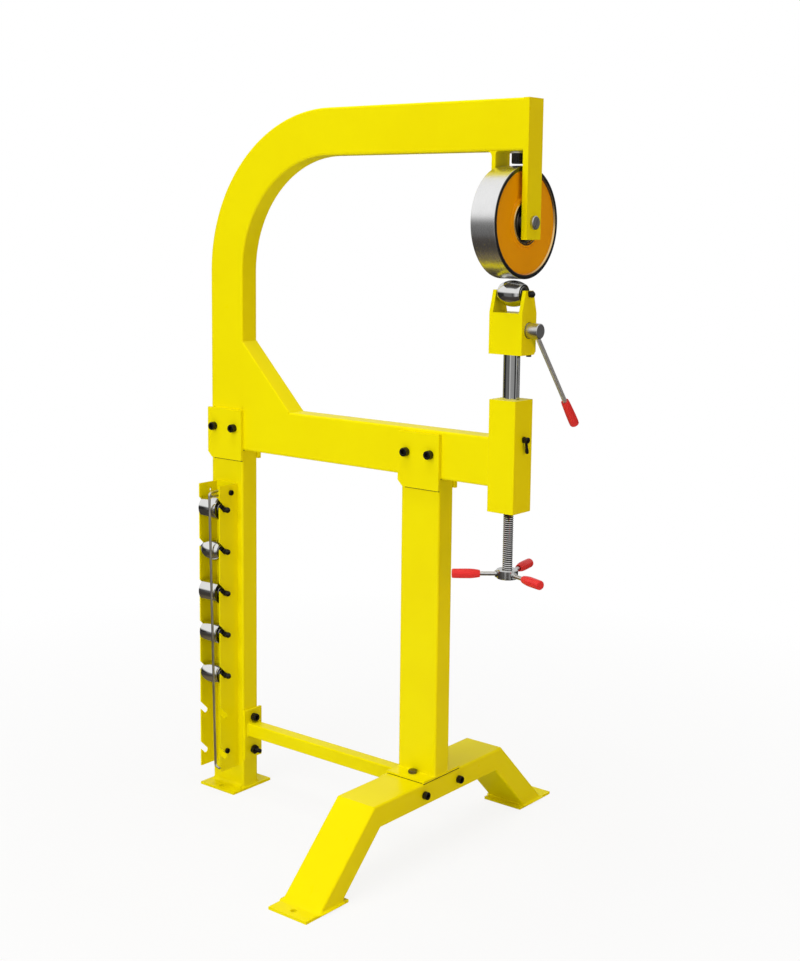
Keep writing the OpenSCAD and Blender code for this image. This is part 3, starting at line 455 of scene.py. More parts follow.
def knurled(angle):
    """Reach of a knurled side: every second line of corners lies lower."""
    return 1 - 0.05 * (round(angle * 24 / math.pi) % 2)


def hexagon(angle):
    """Reach of a hexagon at an angle, with 1 at its corners."""
    return math.cos(math.pi / 6) / math.cos(angle % (math.pi / 3) - math.pi / 6)


def turned(outline, middle=(0, 0, 0), axis=(0, 0, 1), steps=48, mesh=None):
    """A turned shape: (radius, place along the axis[, shape]) points in a closed loop, or
    from the axis to the axis."""
    mesh = mesh or bmesh.new()
    a = Vector(axis).normalized()
    u = a.orthogonal().normalized()
    v = a.cross(u)
    rings = []
    for radius, along, *shape in outline:
        ring = []
        for angle in (math.tau * k / steps for k in range(steps if radius else 1)):
            reach = radius * (shape[0](angle) if shape else 1)
            ring.append(mesh.verts.new(
                (Vector(middle) + a * along
                 + (u * math.cos(angle) + v * math.sin(angle)) * reach) / 1000))
        rings.append(ring)
    if outline[0][0] and outline[-1][0]:
        rings.append(rings[0])
    for one, two in zip(rings, rings[1:]):
        for k in range(steps if len(one) + len(two) > 2 else 0):
            j = (k + 1) % steps
            corners = dict.fromkeys([one[k % len(one)], one[j % len(one)],
                                     two[j % len(two)], two[k % len(two)]])
            mesh.faces.new(list(corners))
    return mesh


class Growth(Nodes):
    """A tree of Geometry Nodes with named inputs, and the plain mesh that it makes."""

    kinds = {"Geometry": "NodeSocketGeometry", "Piece": "NodeSocketObject",
             "Finish": "NodeSocketMaterial"}

    def __init__(self, name, *inputs):
        super().__init__(bpy.data.node_groups.new(name, "GeometryNodeTree"))
        self.sockets = {}
        for word in ("Geometry", "Finish", *inputs):
            self.sockets[word] = self.tree.interface.new_socket(
                word, in_out="INPUT", socket_type=self.kinds.get(word, "NodeSocketFloat"))
        self.tree.interface.new_socket("Geometry", in_out="OUTPUT",
                                       socket_type="NodeSocketGeometry")
        self.given = self.tree.nodes.new("NodeGroupInput")

    def input(self, word):
        return Wire(self, self.given.outputs[word])

    def end(self, geometry):
        plain = self.node("GeometryNodeRealizeInstances", {}, {"Geometry": geometry})
        self.node("NodeGroupOutput", {}, {0: self.node("GeometryNodeSetMaterial", {}, {
            "Geometry": plain, "Material": self.input("Finish")})})

    def grow(self, name, points, values, edges=(), **attributes):
        """A plain mesh from points in metres, with what the tree's inputs are set to."""
        data = bpy.data.meshes.new(name)
        data.from_pydata(points, edges, [])
        for word, rows in attributes.items():
            layer = data.attributes.new(word, "FLOAT_VECTOR", "POINT")
            layer.data.foreach_set("vector", [x for row in rows for x in row])
        holder = bpy.data.objects.new(name, data)
        bpy.context.scene.collection.objects.link(holder)
        modifier = holder.modifiers.new("grow", "NODES")
        modifier.node_group = self.tree
        for word, value in values.items():
            modifier[self.sockets[word].identifier] = value
        graph = bpy.context.evaluated_depsgraph_get()
        plain = bpy.data.meshes.new_from_object(holder.evaluated_get(graph), depsgraph=graph)
        holder.modifiers.remove(modifier)
        bpy.data.objects.remove(holder)
        return plain


placed = Growth("copies_at_places", "Piece")
copy = placed.node("GeometryNodeObjectInfo", {}, {"Object": placed.input("Piece")}, "Geometry")
heading, spread = (placed.node("GeometryNodeInputNamedAttribute", {"data_type": "FLOAT_VECTOR"},
                               {"Name": word}) for word in ("heading", "spread"))
placed.end(placed.node("GeometryNodeInstanceOnPoints", {}, {
    "Points": placed.input("Geometry"), "Instance": copy, "Scale": spread,
    "Rotation": placed.node("FunctionNodeAlignRotationToVector", {"axis": "Z"},
                            {"Vector": heading})}))


def copies(name, mesh, finish, body, slot, spots, *nodes):
    """One mesh at every spot, which is a place, a heading and, where it isn't as made, how
    much wider and longer the mesh is there."""
    model = bpy.data.objects.new(f"{name}_model", closed(mesh, f"{name}_model"))
    spots = [(*spot, (1, 1, 1))[:3] for spot in spots]
    data = placed.grow(name, [Vector(spot[0]) / 1000 for spot in spots],
                       {"Piece": model, "Finish": finish},
                       heading=[spot[1] for spot in spots], spread=[spot[2] for spot in spots])
    bpy.data.objects.remove(model)
    finished(name, data, finish, body, slot, *nodes, sharp=28)


def cap_screw():
    """A head of radius 9 and height 12, with its foot at the origin."""
    return turned([(0, 0), (8.6, 0), (9, 0.5, knurled), (9, 10.6, knurled), (8.7, 11),
                   (8.1, 12), (5.6, 12, hexagon), (5.1, 11.5, hexagon), (5.1, 5.5, hexagon),
                   (0, 4.4)])


# The screws go through the cheek plates at both posts, the crossbar's rear end and the beam.
cheek, saddle_z, saddles = 31.5, 829, [x + s for x in (0, front) for s in (-30, 30)]
bar_screw_y, bar_screw_low, bar_screw_high = 3, 91.5, 167.5
leg_screws, leg_screw_x = (-57, 57), 548
heads = [((x, -cheek, saddle_z), (0, -1, 0)) for x in saddles]
heads.append(((bar_start, bar_screw_y, bar_screw_high), (1, 0, 0)))
heads += [((front + tube_x, y, bar_z), (1, 0, 0), (0.889, 0.889, 0.833)) for y in leg_screws]
copies("screw_heads", cap_screw(), black, "frame", "black_steel", heads)


def threaded(radius, start, end, pitch, mesh, middle, axis):
    """A screw's end: rings of thread and a chamfered point."""
    outline = [(0, start)]
    for k in range(int((end - start) / pitch)):
        outline += [(radius - 0.5, start + k * pitch), (radius, start + (k + 0.5) * pitch)]
    turned(outline + [(radius - 0.5, end - 0.6), (radius - 1.2, end), (0, end)],
           middle, axis, steps=24, mesh=mesh)


def nut(radius, height, bore):
    """A hexagon nut with both rims turned down, from the origin along +Z."""
    return turned([(bore, 0.4), (bore + 0.5, 0), (radius * 0.84, 0), (radius, 1.1, hexagon),
                   (radius, height - 1.1, hexagon), (radius * 0.84, height),
                   (bore + 0.5, height), (bore, height - 0.4)])


copies("saddle_nut_set", nut(10.5, 10, 6.02), black, "frame", "black_steel",
       [((x, cheek, saddle_z), (0, 1, 0)) for x in saddles], "saddle_nuts")
copies("low_bar_nut", nut(10.5, 9, 4.9), black, "frame", "black_steel",
       [((bar_start, bar_screw_y, bar_screw_low), (1, 0, 0))])
shanks = bmesh.new()
for x in saddles:
    threaded(6, 41.4, 45.5, 1.25, shanks, (x, 0, saddle_z), (0, 1, 0))
    turned([(0, -31.6), (6, -31.6), (6, 41.4), (0, 41.4)], (x, 0, saddle_z), (0, 1, 0),
           mesh=shanks)
for z in (bar_screw_low, bar_screw_high):
    turned([(0, -14), (6, -14), (6, 6.1), (0, 6.1)], (tube_x, bar_screw_y, z), (1, 0, 0),
           mesh=shanks)
threaded(4.9, 5.8, 29, 1.5, shanks, (tube_x, bar_screw_y, bar_screw_low), (1, 0, 0))
for y in leg_screws:
    threaded(5, -66, -62, 1.25, shanks, (leg_screw_x, y, bar_z), (1, 0, 0))
    turned([(0, -62), (5, -62), (5, 44.1), (0, 44.1)], (leg_screw_x, y, bar_z), (1, 0, 0),
           mesh=shanks)
finished("screw_shanks", shanks, black, "frame", "black_steel",
         "saddle_screws", "crossbar_screws", "leg_screws")
copies("leg_nut_set", nut(8.75, 8, 5.02), black, "frame", "black_steel",
       [((bar_end, y, bar_z), (-1, 0, 0)) for y in leg_screws], "leg_nuts")


# Painted shade: thin dark strips stand for the shade in the corner between an arm's rounded
# edge, a cheek plate and the top of a post, and for the shadow under the plates' lower edges
# and round the front post's base.
shade_strips, up, cheek_low = bmesh.new(), (0, 0, 1), 758
beam_top, base_x, base_y = 164.5, 44, 60
for x in (0, front):
    for side in (-1, 1):
        out, back, y = (0, side, 0), (0, -side, 0), tube_y * side
        swept([(-0.2, -0.6), (4.6, -0.6), (3.2, 1.2), (1.2, 3.2), (-0.2, 4.8)],
              (x - 47.6, y, arm_low), (x + 47.6, y, arm_low), back, up, shade_strips)
        swept([(-0.5, -2.8), (0.4, -2.8), (0.4, 0.1), (-0.5, 0.1)], (x - 38, y, cheek_low),
              (x + (48 if side < 0 else 43), y, cheek_low), out, up, shade_strips)
        for end in (-1, 1) if x else (1,):
            swept([(0, 0), (9, 0), (0, -3.5)], (x + 47.5 * end, 23.3 * side, arm_low),
                  (x + 48.3 * end, 23.3 * side, arm_low), back, up, shade_strips)
for side in (-1, 1):
    x = front + tube_x * side
    swept([(-4, -2), (-0.6, -1.6), (-0.6, 0.1), (-4, 0.1)], (x, 0.5 - base_y, beam_top),
          (x, base_y - 0.5, beam_top), (side, 0, 0), up, shade_strips)
    swept([(-0.5, -0.3), (0.45, -0.3), (0.45, 1), (-0.5, 1)],
          (front - base_x, base_y * side, beam_top), (front + base_x, base_y * side, beam_top),
          (0, side, 0), up, shade_strips)
finished("bare_gaps", shade_strips, black, "frame", "black_steel")


# Upper wheel: a thick steel rim, ground round its tread, shrunk on two orange discs with a
# hub sleeve between them. Thin orange-gold metal rings on the lips of the rim and the sleeve
# are a painted highlight along the paint's edges. Two sealed ball bearings sit in the hub.
orange = enamel("orange_enamel", (0.88, 0.385, 0.001), (0.82, 0.35, 0.001))


def polished(name, colour, middle, axis, rough=0.2, lines=1500, depth=0.000004, metal=1.0,
             skin=None):
    """Turned or ground metal: fine lines run round the axis, with a little smear. Its sides may
    keep a dark skin: where that starts, where it is full (in mm) and how strong it is."""
    made = Finish(name, {"Metallic": metal})
    along = made.node("ShaderNodeSeparateXYZ", {}, {0: made.place(middle=middle)}, axis)
    out = made.reach(tuple(0.0 if letter == axis else 1.0 for letter in "XYZ"), middle)
    line = made.noise(lines, 2, made.node("ShaderNodeCombineXYZ", {}, {0: along, 1: out, 2: 0.0}))
    smear = made.noise(35, 3)
    tone = made.blend(0.35 * line + 0.65 * smear, tuple(0.8 * c for c in colour), colour)
    if skin:
        start, full, share = skin
        side = (along * 1000).math("ABSOLUTE") * 0.02
        tone = made.blend(made.ramp(side, (start / 50, 0), (full / 50, share)), tone,
                          (0.05, 0.048, 0.045))
    return made.done(Base_Color=tone, Roughness=rough + 0.08 * line - 0.04 * smear,
                     Normal=made.bump(line, depth))


def mirrored(half):
    """A whole outline from its half on the + side."""
    return [(r, -x) for r, x in half] + half[::-1]


def both_sides(outlines, place, steps):
    """Outlines turned round X on both sides of a place."""
    mesh = bmesh.new()
    for side in (-1, 1):
        for outline in outlines:
            turned([(r, side * x) for r, x in outline], place, (1, 0, 0), steps, mesh)
    return mesh


wheel, wheel_steps = (throat, 0, 1284), 160
wheel_middle = tuple(c / 1000 for c in wheel)
tread = polished("ground_tread", (0.9, 0.9, 0.9), wheel_middle, "X", 0.25, 2200, 0.0000015,
                 skin=(26.2, 26.75, 0.95))
rim = turned(mirrored([(97.5, 26.5), (98, 27), (103.6, 27), (104.1, 26.8), (104.8, 26.1),
                       (105, 25.6)]), wheel, (1, 0, 0), wheel_steps)
finished("wheel_rim_turned", rim, tread, "wheel", slots["wheel_rim"], "wheel_rim", sharp=50)
discs = both_sides([[(97.4, 17.6), (97.4, 24.4), (94.4, 23.4), (49.6, 23.4), (48.9, 23.7),
                     (47.6, 26), (47, 26.5), (46.4, 26.4), (46.1, 26), (46.1, 17.6)]],
                   wheel, wheel_steps)
finished("wheel_disc_pair", discs, orange, "wheel", slots["wheel_discs"], "wheel_discs")
lips = both_sides([[(97.45, 23.2), (97.45, 26.8), (97, 26.8), (95.2, 24.2), (95.2, 23.2)],
                   [(40.1, 25), (40.1, 27.9), (41, 27.9), (42.9, 26.8), (42.9, 25)]],
                  wheel, wheel_steps)
# Orange-gold metal rings on the lips: a painted highlight along the edges of the orange paint.
lip_highlight = polished("bare_lip", (0.85, 0.58, 0.24), wheel_middle, "X", 0.25, 900)
finished("wheel_bare_lips", lips, lip_highlight, "wheel", slots["wheel_discs"])
hub = turned(mirrored([(40.02, 26), (41, 27), (45.2, 27), (46, 26.2)]), wheel, (1, 0, 0), 128)
finished("wheel_hub_sleeve", hub, orange, "wheel", slots["wheel_hub"], "wheel_hub", sharp=50)

# The bearings' rings and the axle's sleeve are given a dark steel colour: painted shade in the
# hub's deep recess.
recess_shade_steel = polished("bearing_rings", (0.24, 0.22, 0.19), wheel_middle, "X", 0.3)
rings = both_sides([[(40, 5), (40, 22.4), (39.4, 23), (35.4, 23), (35, 22.6), (35, 5)],
                    [(26, 5), (26, 22.6), (25.6, 23), (20.7, 23), (20.05, 22.4), (20.05, 5)]],
                   wheel, 96)
seals = both_sides([[(35, 8), (35, 22.2), (34.2, 22.5), (33.4, 22.1), (31, 22.3), (28.5, 22.3),
                     (27.4, 22), (26.8, 22.4), (26, 22.2), (26, 8)]], wheel, 96)
finished("wheel_bearing_rings", rings, recess_shade_steel, "wheel", slots["wheel_bearings"],
         "wheel_bearings")
rubber = Finish("seal_rubber", {"Specular IOR Level": 0.35})
rubber = rubber.done(Base_Color=rubber.blend(rubber.noise(90), (0.01, 0.01, 0.01),
                                             (0.025, 0.025, 0.025)),
                     Roughness=0.45 + 0.2 * rubber.noise(60),
                     Normal=rubber.bump(rubber.noise(700), 0.00003))
finished("wheel_bearing_seals", seals, rubber, "wheel", slots["wheel_bearings"])


# Wheel axle: a steel pin through both plates of the fork, with a round slotted head outside
# and a hexagon nut inside. A sleeve keeps the plates apart and carries the bearings.
def cut(mesh, tool, name):
    """Mesh data with the tool's shape taken out."""
    pair = [bpy.data.objects.new(f"{name}_{k}", closed(m, f"{name}_{k}"))
            for k, m in enumerate((mesh, tool))]
    for made in pair:
        bpy.context.scene.collection.objects.link(made)
    modifier = pair[0].modifiers.new("cut", "BOOLEAN")
    modifier.operation, modifier.solver, modifier.object = "DIFFERENCE", "EXACT", pair[1]
    graph = bpy.context.evaluated_depsgraph_get()
    data = bpy.data.meshes.new_from_object(pair[0].evaluated_get(graph), depsgraph=graph)
    for made in pair:
        bpy.data.objects.remove(made)
    return data


pin_steel = polished("turned_pin", (0.62, 0.61, 0.59), wheel_middle, "X", 0.3, 700, 0.000008)
pin = turned([(0, -55.5), (8.8, -55.5), (10, -54.3), (10, 42.5), (12.1, 42.6), (12.75, 43.2),
              (12.75, 47.2), (11.4, 48.5), (0, 48.5)], wheel, (1, 0, 0), steps=64)
lean, slot_half, slot_floor = math.radians(32), 14, 45.6
ends = [Vector((throat + slot_floor, s * slot_half * math.sin(lean),
                wheel[2] + s * slot_half * math.cos(lean))) for s in (-1, 1)]
slot = swept([(-1.5, 0), (1.5, 0), (1.5, 6), (-1.5, 6)], *ends,
             (0, math.cos(lean), -math.sin(lean)), (1, 0, 0))
finished("wheel_pin", cut(pin, slot, "wheel_pin"), pin_steel, "frame", slots["wheel_axle"],
         "wheel_axle")
sleeve = turned(mirrored([(10.02, 30.3), (19, 30.4), (20, 29.6)]), wheel, (1, 0, 0), 64)
finished("wheel_pin_sleeve", sleeve, recess_shade_steel, "frame", slots["axle_sleeve"], "axle_sleeve")
zinc = polished("zinc_plate", (0.5, 0.48, 0.44), (0, 0, 0), "Z", 0.32, 500, 0.00001)
copies("wheel_pin_nut", nut(17.5, 12, 10.02), zinc, "frame", slots["axle_nut"],
       [((ear_back, 0, wheel[2]), (-1, 0, 0))], "axle_nut")

# Stop screw: a big black cap screw with a pale flat washer, hung under the arm between the
# plates of the fork.
stop_x = 746
copies("fork_stop_screw", cap_screw(), black, "frame", slots["fork_screw"],
       [((stop_x, 0, neck - 4), (0, 0, -1), (1.333, 1.333, 1.6))], "fork_screw")
pale = polished("washer_steel", (0.8, 0.8, 0.78), (0, 0, 0), "Z", 0.5, 500, 0.00001)
washer = turned([(3, -4), (3, 0), (14.4, 0), (15, -0.6), (15, -4)], (stop_x, 0, neck), steps=64)
finished("fork_stop_washer", washer, pale, "frame", "plain_steel")

# Base screws: two screws with low hexagon heads, of browned steel, that hold the front post's
# base plate down on the beam.
brown = polished("brown_steel", (0.2, 0.17, 0.12), (0, 0, 0), "Z", 0.4, 500, 0.00001)
base_screws = (-35, 35)
copies("base_screw_heads", turned([(0, 0), (8.2, 0), (9.5, 0.4, hexagon), (9.5, 5.6, hexagon),
                                   (8.1, 6.5), (0, 6.3)]), brown, "frame",
       slots["base_screws"], [((front, y, base_top), (0, 0, 1)) for y in base_screws])
shanks = bmesh.new()
for y in base_screws:
    turned([(0, 156.5), (5, 156.5), (5, 169.6), (0, 169.6)], (front, y, 0), mesh=shanks)
finished("base_screw_shanks", shanks, brown, "frame", slots["base_screws"], "base_screws")


# Ram: a chromed round bar with a flat keyway, ground in its length by its own sliding. A
# bronze pad under it rests on the adjusting screw.
ram_line = (0.742, 0, 0)
chrome = polished("chromed_bar", (0.78, 0.78, 0.77), ram_line, "Z", 0.06, 900, 0.0000015)
coated("ram_bar", "ram", chrome, 0.3)
bronze = polished("bronze", (0.6, 0.4, 0.18), ram_line, "Z", 0.3, 800, 0.000006)
for node in ("ram_bushes", "screw_nut", "thrust_pad"):
    coated(f"{node}_turned", node, bronze)

# Adjusting screw: a plain steel bar with a rolled thread, one ridge along a spiral. It turns
# in the nut of the housing and lifts the ram.
spiral = Growth("thread_ridge", "Low", "Pitch", "Turns", "Root", "Depth")
line = spiral.node("GeometryNodeCurveSpiral", {}, {
    "Resolution": 28, "Rotations": spiral.input("Turns"), "Start Radius": spiral.input("Root"),
    "End Radius": spiral.input("Root"),
    "Height": spiral.input("Pitch") * spiral.input("Turns"), "Reverse": False})
line = spiral.node("GeometryNodeSetCurveNormal", {"mode": "Z_UP"}, {"Curve": line})
ridge = spiral.node("GeometryNodeCurvePrimitiveCircle", {"mode": "RADIUS"}, {
    "Resolution": 8, "Radius": spiral.input("Depth")})
threads = spiral.node("GeometryNodeCurveToMesh", {}, {
    "Curve": line, "Profile Curve": ridge, "Fill Caps": True})
spiral.end(spiral.node("GeometryNodeSetPosition", {}, {
    "Geometry": threads, "Offset": spiral.node(
        "ShaderNodeCombineXYZ", {}, {0: ram_line[0], 1: 0.0, 2: spiral.input("Low")})}))
screw_steel = polished("screw_steel", (0.7, 0.69, 0.68), ram_line, "Z", 0.12, 500, 0.00001)
# The core between the ridges is painted near black: painted shade in the thread's roots.
root_shade_steel = polished("screw_root", (0.05, 0.048, 0.045), ram_line, "Z", 0.5, 500, 0.00001)
data = spiral.grow("screw_thread", [(0, 0, 0)], {
    "Finish": screw_steel, "Low": 0.6205, "Pitch": 0.004, "Turns": 54.0, "Root": 0.0086,
    "Depth": 0.00138})
finished("screw_thread", data, screw_steel, "screw", slots["adjusting_screw"], sharp=25)
core = turned([(0, 602), (8, 602), (9, 603), (9, 617), (9.1, 619), (9.1, 836), (7, 839),
               (0, 839)], (throat, 0, 0))
finished("screw_core", core, root_shade_steel, "screw", slots["adjusting_screw"], "adjusting_screw")


# Handles of the adjusting screw: a turned and chromed hub, three bright steel rods pressed
# into it, and on each rod a red plastic grip that swells towards its round end.
red = Finish("red_plastic", {"Specular IOR Level": 0.32, "Coat Roughness": 0.2})
cloud = red.noise(25, 2)
red = red.done(Base_Color=red.blend(cloud, (0.74, 0.026, 0.027), (0.82, 0.036, 0.036)),
               Roughness=0.28 + 0.14 * cloud, Normal=red.bump(red.noise(500, 1), 0.00003))
hub_chrome = polished("chromed_hub", (0.72, 0.72, 0.71), ram_line, "Z", 0.12, 900, 0.000004)
hub = turned([(10.02, 602.8), (10.9, 602), (19.6, 602), (21, 603.4), (21, 618.6), (19.6, 620),
              (10.9, 620), (10.02, 619.2)], (throat, 0, 0), steps=96)
finished("handle_hub_turned", hub, hub_chrome, "screw", slots["handle_hub"], "handle_hub")


def grip_outline(length, root, swell, bore, deep, full):
    """A grip along +Z with a blind bore: it swells from its root, up to its full size at a
    share of its length, and ends flat with a round edge."""
    curve = []
    for k in range(15):
        share = k / 14
        rise = math.sin(math.pi / 2 * min(1, share / full))
        fall = max(0, share - full) / (1 - full)
        curve.append((root + (swell - root) * rise - 0.3 * fall ** 2,
                      1.2 + share * (length - 3.7)))
    last, reach = curve[-1]
    cap = [(last - 2.5 + 2.5 * math.cos(a), reach + 2.5 * math.sin(a))
           for a in (math.pi / 2 * k / 5 for k in range(1, 6))]
    return [(0, deep), (bore, deep), (bore, 2.4), (bore + 1.2, 2.2), (bore + 1.3, 0.2),
            (bore + 1.5, 0), (root - 0.6, 0), *curve, *cap, (last * 0.4, length + 0.2),
            (0, length + 0.3)]


rods, grips, collars = bmesh.new(), bmesh.new(), bmesh.new()
hub_middle, grip_start = Vector((throat, 0, 611)), 53
for k in range(3):
    around = math.radians(-140 + 120 * k)
    out = Vector((math.cos(around), math.sin(around), 0))
    turned([(0, 11.5), (4, 11.5), (4, 80), (0, 80)], hub_middle, out, 32, rods)
    turned([(4, 20.9), (6.4, 20.9), (6.8, 21.3), (6.8, 23.4), (6.4, 23.8), (4, 23.8)],
           hub_middle, out, 32, collars)
    turned(grip_outline(54.4, 7.2, 9.4, 4.02, 27.4, 0.4), hub_middle + out * grip_start, out, 40,
           grips)
rod_steel = polished("bright_rod", (0.8, 0.79, 0.78), ram_line, "Z", 0.33, 600, 0.000004)
finished("handle_rod_set", rods, rod_steel, "screw", slots["handle_rods"], "handle_rods")
finished("handle_rod_collars", collars, hub_chrome, "screw", slots["handle_rods"])
finished("handle_grip_set", grips, red, "screw", slots["handle_grips"], "handle_grips", sharp=45)


# Clamp lever: a small black casting with a ribbed head on a stud through the housing's side.
# It presses the stud on the ram's flat and holds the ram where it is.
def ribbed(angle):
    """Reach of a ribbed side, coarser than a knurled one."""
    return 1 - 0.07 * (round(angle * 12 / math.pi) % 2)


clamp_z, clamp_arm_x, clamp_slope = 875.6, 778.5, math.radians(10)
head = turned([(0, 17), (3.95, 17), (3.95, 30.6), (5.2, 30.6), (6, 31.4), (6, 33.4),
               (5.5, 33.6, ribbed), (5.5, 39.8, ribbed), (6, 40), (6, 41.2), (5.3, 42.2),
               (3, 42.5), (0, 42.5)], (throat, 0, clamp_z), (1, 0, 0), 24)
turned([(0, 1), (3.4, 1), (2.7, 8), (2.9, 16), (3.5, 22), (3.4, 25), (2.2, 26.8), (0, 27.2)],
       (clamp_arm_x, 0, clamp_z), (0, math.sin(clamp_slope), -math.cos(clamp_slope)), 24, head)
finished("clamp_handle", head, black, "clamp", slots["clamp_lever"], "clamp_lever", sharp=40)


# Yoke: a milled steel block on top of the ram, slotted for the anvil, with tapered ears and
# an open notch in each for the anvil's axle. It is sprayed yellow outside.
yoke_low = 1037
coated("yoke_block", "yoke", yellow, 1.1, steps=3)
copies("yoke_guide_screw", cap_screw(), black, "yoke", slots["yoke_screw"],
       [((throat + 30, 12, yoke_low), (0, 0, -1), (0.555, 0.555, 0.333))], "yoke_screw")

# Quick release: a turned eccentric shaft through the yoke with its plain end outside, a
# chromed rod through that end and a red grip on the rod. A thin dark ring round the shaft at
# the bore's edge is painted shade.
cam, eccentric, lever_x = (throat, 0, 1083.5), (throat, 2.1, 1080.5), 792.5
cam_middle = tuple(c / 1000 for c in cam)
cam_steel = polished("satin_steel", (0.7, 0.69, 0.68), cam_middle, "X", 0.34, 900, 0.000003)
shaft = turned([(0, 17), (14.46, 17), (14.46, 36.9), (13.7, 37.4), (13.7, 38.4), (14.46, 39),
                (14.46, 62.3), (13.3, 63.5), (2, 63.5), (0, 62.9)], cam, (1, 0, 0), 72)
turned([(0, -15), (10.1, -15), (10.5, -14.6), (10.5, 17.2), (0, 17.2)], eccentric, (1, 0, 0),
       mesh=shaft)
turned([(0, -33.5), (5.4, -33.5), (6, -32.9), (6, -14.8), (0, -14.8)], cam, (1, 0, 0),
       mesh=shaft)
finished("cam_shaft_turned", shaft, cam_steel, "quick_release", slots["cam_shaft"], "cam_shaft")
# A thin dark ring at the yoke's face round the shaft: painted shade in the bore's gap.
edge = turned([(14.62, 37.2), (15.6, 37.2), (15.6, 37.62), (14.62, 37.62)], cam, (1, 0, 0), 72)
finished("cam_bore_edge", edge, black, "yoke", "black_steel")
fall, lever_grip = math.radians(52), 180
lever_way, lever_root = Vector((0, math.cos(fall), -math.sin(fall))), Vector((lever_x, 0, cam[2]))
lever = turned([(0, 1), (4.5, 1), (4.5, 212), (0, 212)], lever_root, lever_way, 32)
lever_steel = polished("satin_nickel", (0.78, 0.81, 0.85), cam_middle, "X", 0.4, 600, 0.000004,
                       metal=0.72)
finished("lever_bar", lever, lever_steel, "quick_release", slots["lever_rod"], "lever_rod")
grip = turned(grip_outline(62.7, 7.9, 9.4, 4.52, 31.4, 0.85),
              lever_root + lever_way * lever_grip, lever_way, 40)
finished("lever_handgrip", grip, red, "quick_release", slots["lever_grip"], "lever_grip",
         sharp=45)


# Anvils: hardened and chromed rollers, each with its own crown, on a black axle with a round
# end outside. A sealed bearing sits in each side, held by a thin black nut.
races = polished("race_steel", (0.7, 0.69, 0.67), (0, 0, 0), "X", 0.18, 900, 0.000003)


def anvil(tag, place, body, holder, crown, nodes):
    """One anvil at its place: the roller spins, and the rest stays with what holds it. Its flat
    sides are darker."""
    middle = tuple(c / 1000 for c in place)
    shine = polished(f"anvil_chrome_{tag}", (0.8, 0.8, 0.79), middle, "X", 0.07, 1200, 0.0000008,
                     skin=(24.825, 24.925, 0.9))
    radius = 25
    across = [k / 12 * 49 - 24.5 for k in range(13)]
    bow = [(radius - crown + math.sqrt(crown ** 2 - x ** 2), x) for x in across]
    low = bow[0][0] - 0.6
    roller = turned([(14.05, -24.6), (14.4, -25), (low, -25), *bow, (low, 25), (14.4, 25),
                     (14.05, 24.6), (14.05, 16), (11.05, 16), (11.05, -16), (14.05, -16)],
                    place, (1, 0, 0), 96)
    finished(f"anvil_{tag}_roller", roller, shine, body, slots[nodes[0]], nodes[0], sharp=40)
    rings = both_sides([[(14, 17), (14, 24.7), (13.6, 25), (12.2, 25), (12, 24.8), (12, 17)],
                        [(8.6, 17), (8.6, 24.8), (8.4, 25), (6.4, 25), (6.02, 24.7), (6.02, 17)]],
                       place, 48)
    finished(f"anvil_{tag}_rings", rings, races, holder, slots[nodes[1]], nodes[1])
    seals = both_sides([[(12, 18), (12, 24.7), (11.4, 24.9), (10.8, 24.5), (9.4, 24.6),
                         (8.6, 24.7), (8.6, 18)]], place, 48)
    finished(f"anvil_{tag}_seals", seals, rubber, holder, slots[nodes[1]])
    ball = [(6.5 * math.cos(a), 42 + 6.5 * math.sin(a))
            for a in (math.pi / 2 * k / 8 for k in range(-4, 8))]
    axle = turned([(0, -39.5), (5.2, -39.5), (6, -38.7), (6, 36.6), (4.6, 37.2), (4.3, 38.2),
                   *ball, (0, 48.5)], place, (1, 0, 0), 48)
    finished(f"anvil_{tag}_axle", axle, black, holder, slots[nodes[2]], nodes[2])
    copies(f"anvil_{tag}_nuts", nut(10.5, 3.9, 6.02), black, holder, slots[nodes[3]],
           [((place[0] + s * 25.3, place[1], place[2]), (s, 0, 0)) for s in (-1, 1)], nodes[3])


anvil("working", (throat, 0, 1151.5), "anvil", "yoke", 50,
      ("anvil_roller", "anvil_bearings", "anvil_axle", "anvil_nuts"))
stored_y, stored_top, stored_step, crowns = -64, 652, 94, (220, 42, 1200, 120, 60)
for k, crown in enumerate(crowns):
    anvil(f"stored_{k + 1}", (0, stored_y, stored_top - stored_step * k), f"stored_{k + 1}",
          "frame", crown,
          (f"stored_roller_{k + 1}", "stored_bearings", "stored_axles", "stored_nuts"))


# Anvil rack: a folded steel sheet channel screwed to the rear post, laser cut with slots that
# slope up and out, sprayed yellow. Two black screws with low heads hold it.
coated("rack_channel_sheet", "anvil_rack", yellow)
rack_head = turned([(0, 0), (5.7, 0), (6.1, 0.4), (6.1, 4.1), (5.6, 4.8), (4.8, 5),
                    (2.9, 5, hexagon), (2.7, 4.6, hexagon), (2.7, 2, hexagon), (0, 1.6)])
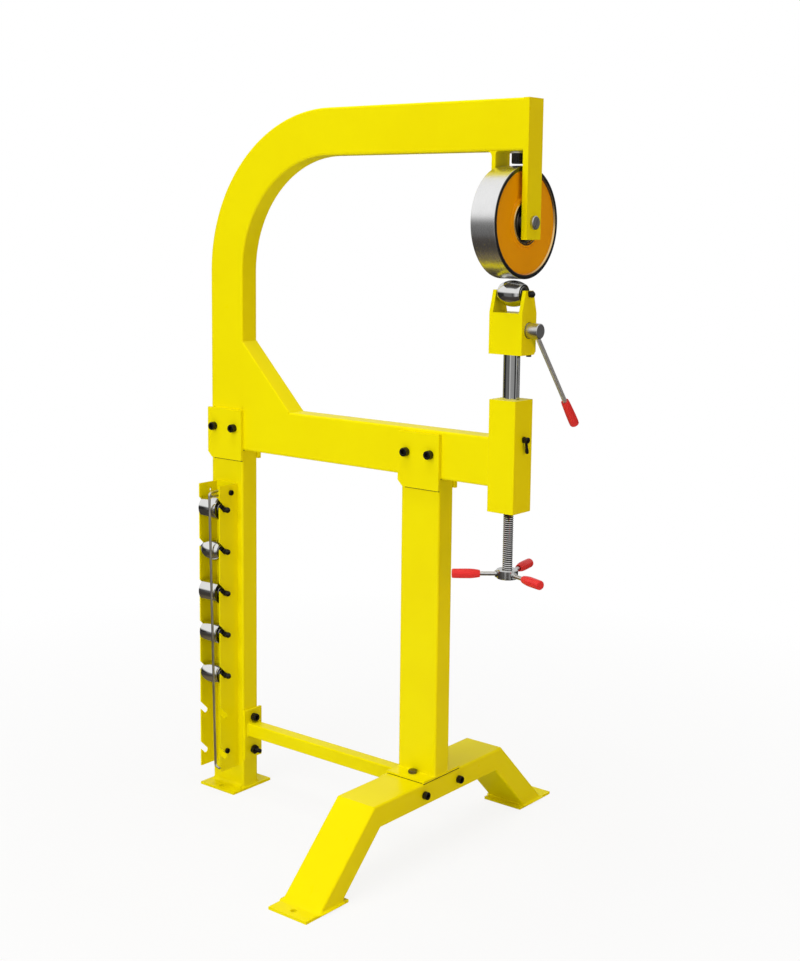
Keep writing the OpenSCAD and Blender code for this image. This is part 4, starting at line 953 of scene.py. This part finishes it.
# The upper screw also holds the retaining rod, on a longer shank.
rack_side, rack_inside, rod_side, upper, lower = 32.5, 29.5, 7.5, (-45, 687), (-60, 100)
copies("rack_screw_heads", rack_head, black, "frame", "black_steel",
       [((rack_side, *upper), (1, 0, 0)), ((rack_side, *lower), (1, 0, 0))])
shanks = bmesh.new()
for (y, z), start in ((upper, rod_side), (lower, 25.5)):
    turned([(0, start), (3, start), (3, 32.6), (0, 32.6)], (0, y, z), (1, 0, 0), 24, shanks)
finished("rack_screw_shanks", shanks, black, "frame", "black_steel", "rack_screws")
copies("rack_screw_nuts", nut(5.25, 4, 3.02), black, "frame", "black_steel",
       [((rack_inside, *upper), (-1, 0, 0)), ((rack_inside, *lower), (-1, 0, 0)),
        ((rod_side, *upper), (1, 0, 0))])

# Retaining rod: a bright steel wire, bent by hand, that hangs down in front of the anvils
# from an eye round the rack's top screw. Nodes run it along its bent path.
bent = Growth("bent_wire", "Radius", "Bend")
path = bent.node("GeometryNodeMeshToCurve", {}, {"Mesh": bent.input("Geometry")})
path = bent.node("GeometryNodeFilletCurve", {"mode": "POLY"}, {
    "Curve": path, "Count": 6, "Radius": bent.input("Bend"), "Limit Radius": True})
ring = bent.node("GeometryNodeCurvePrimitiveCircle", {"mode": "RADIUS"}, {
    "Resolution": 16, "Radius": bent.input("Radius")})
bent.end(bent.node("GeometryNodeCurveToMesh", {}, {
    "Curve": path, "Profile Curve": ring, "Fill Caps": True}))
wire_steel = Finish("wire_steel", {"Metallic": 1.0})
rub = wire_steel.noise(60, 3)
wire_steel = wire_steel.done(
    Base_Color=wire_steel.blend(rub, (0.55, 0.53, 0.5), (0.75, 0.73, 0.7)),
    Roughness=0.25 + 0.2 * rub, Normal=wire_steel.bump(wire_steel.noise(900, 1), 0.00002))
wire_x, wire_y, eye_radius = 15, -92.25, 5.8
eye = [(wire_x, upper[0] + eye_radius * math.sin(a), upper[1] + eye_radius * math.cos(a))
       for a in (math.pi * (1.2 - 0.125 * k) for k in range(10))]
route = [(wire_x, -86, 682.5), (wire_x, -52, 681.5), *eye, (wire_x, -52, 692.8),
         (wire_x, wire_y, 690), (29.5, wire_y, 74), (42.5, wire_y, 70)]
data = bent.grow("retaining_wire", [Vector(p) / 1000 for p in route],
                 {"Finish": wire_steel, "Radius": 0.00275, "Bend": 0.007},
                 [(k, k + 1) for k in range(len(route) - 1)])
finished("retaining_wire", data, wire_steel, "rod", slots["retaining_rod"], "retaining_rod",
         sharp=60)
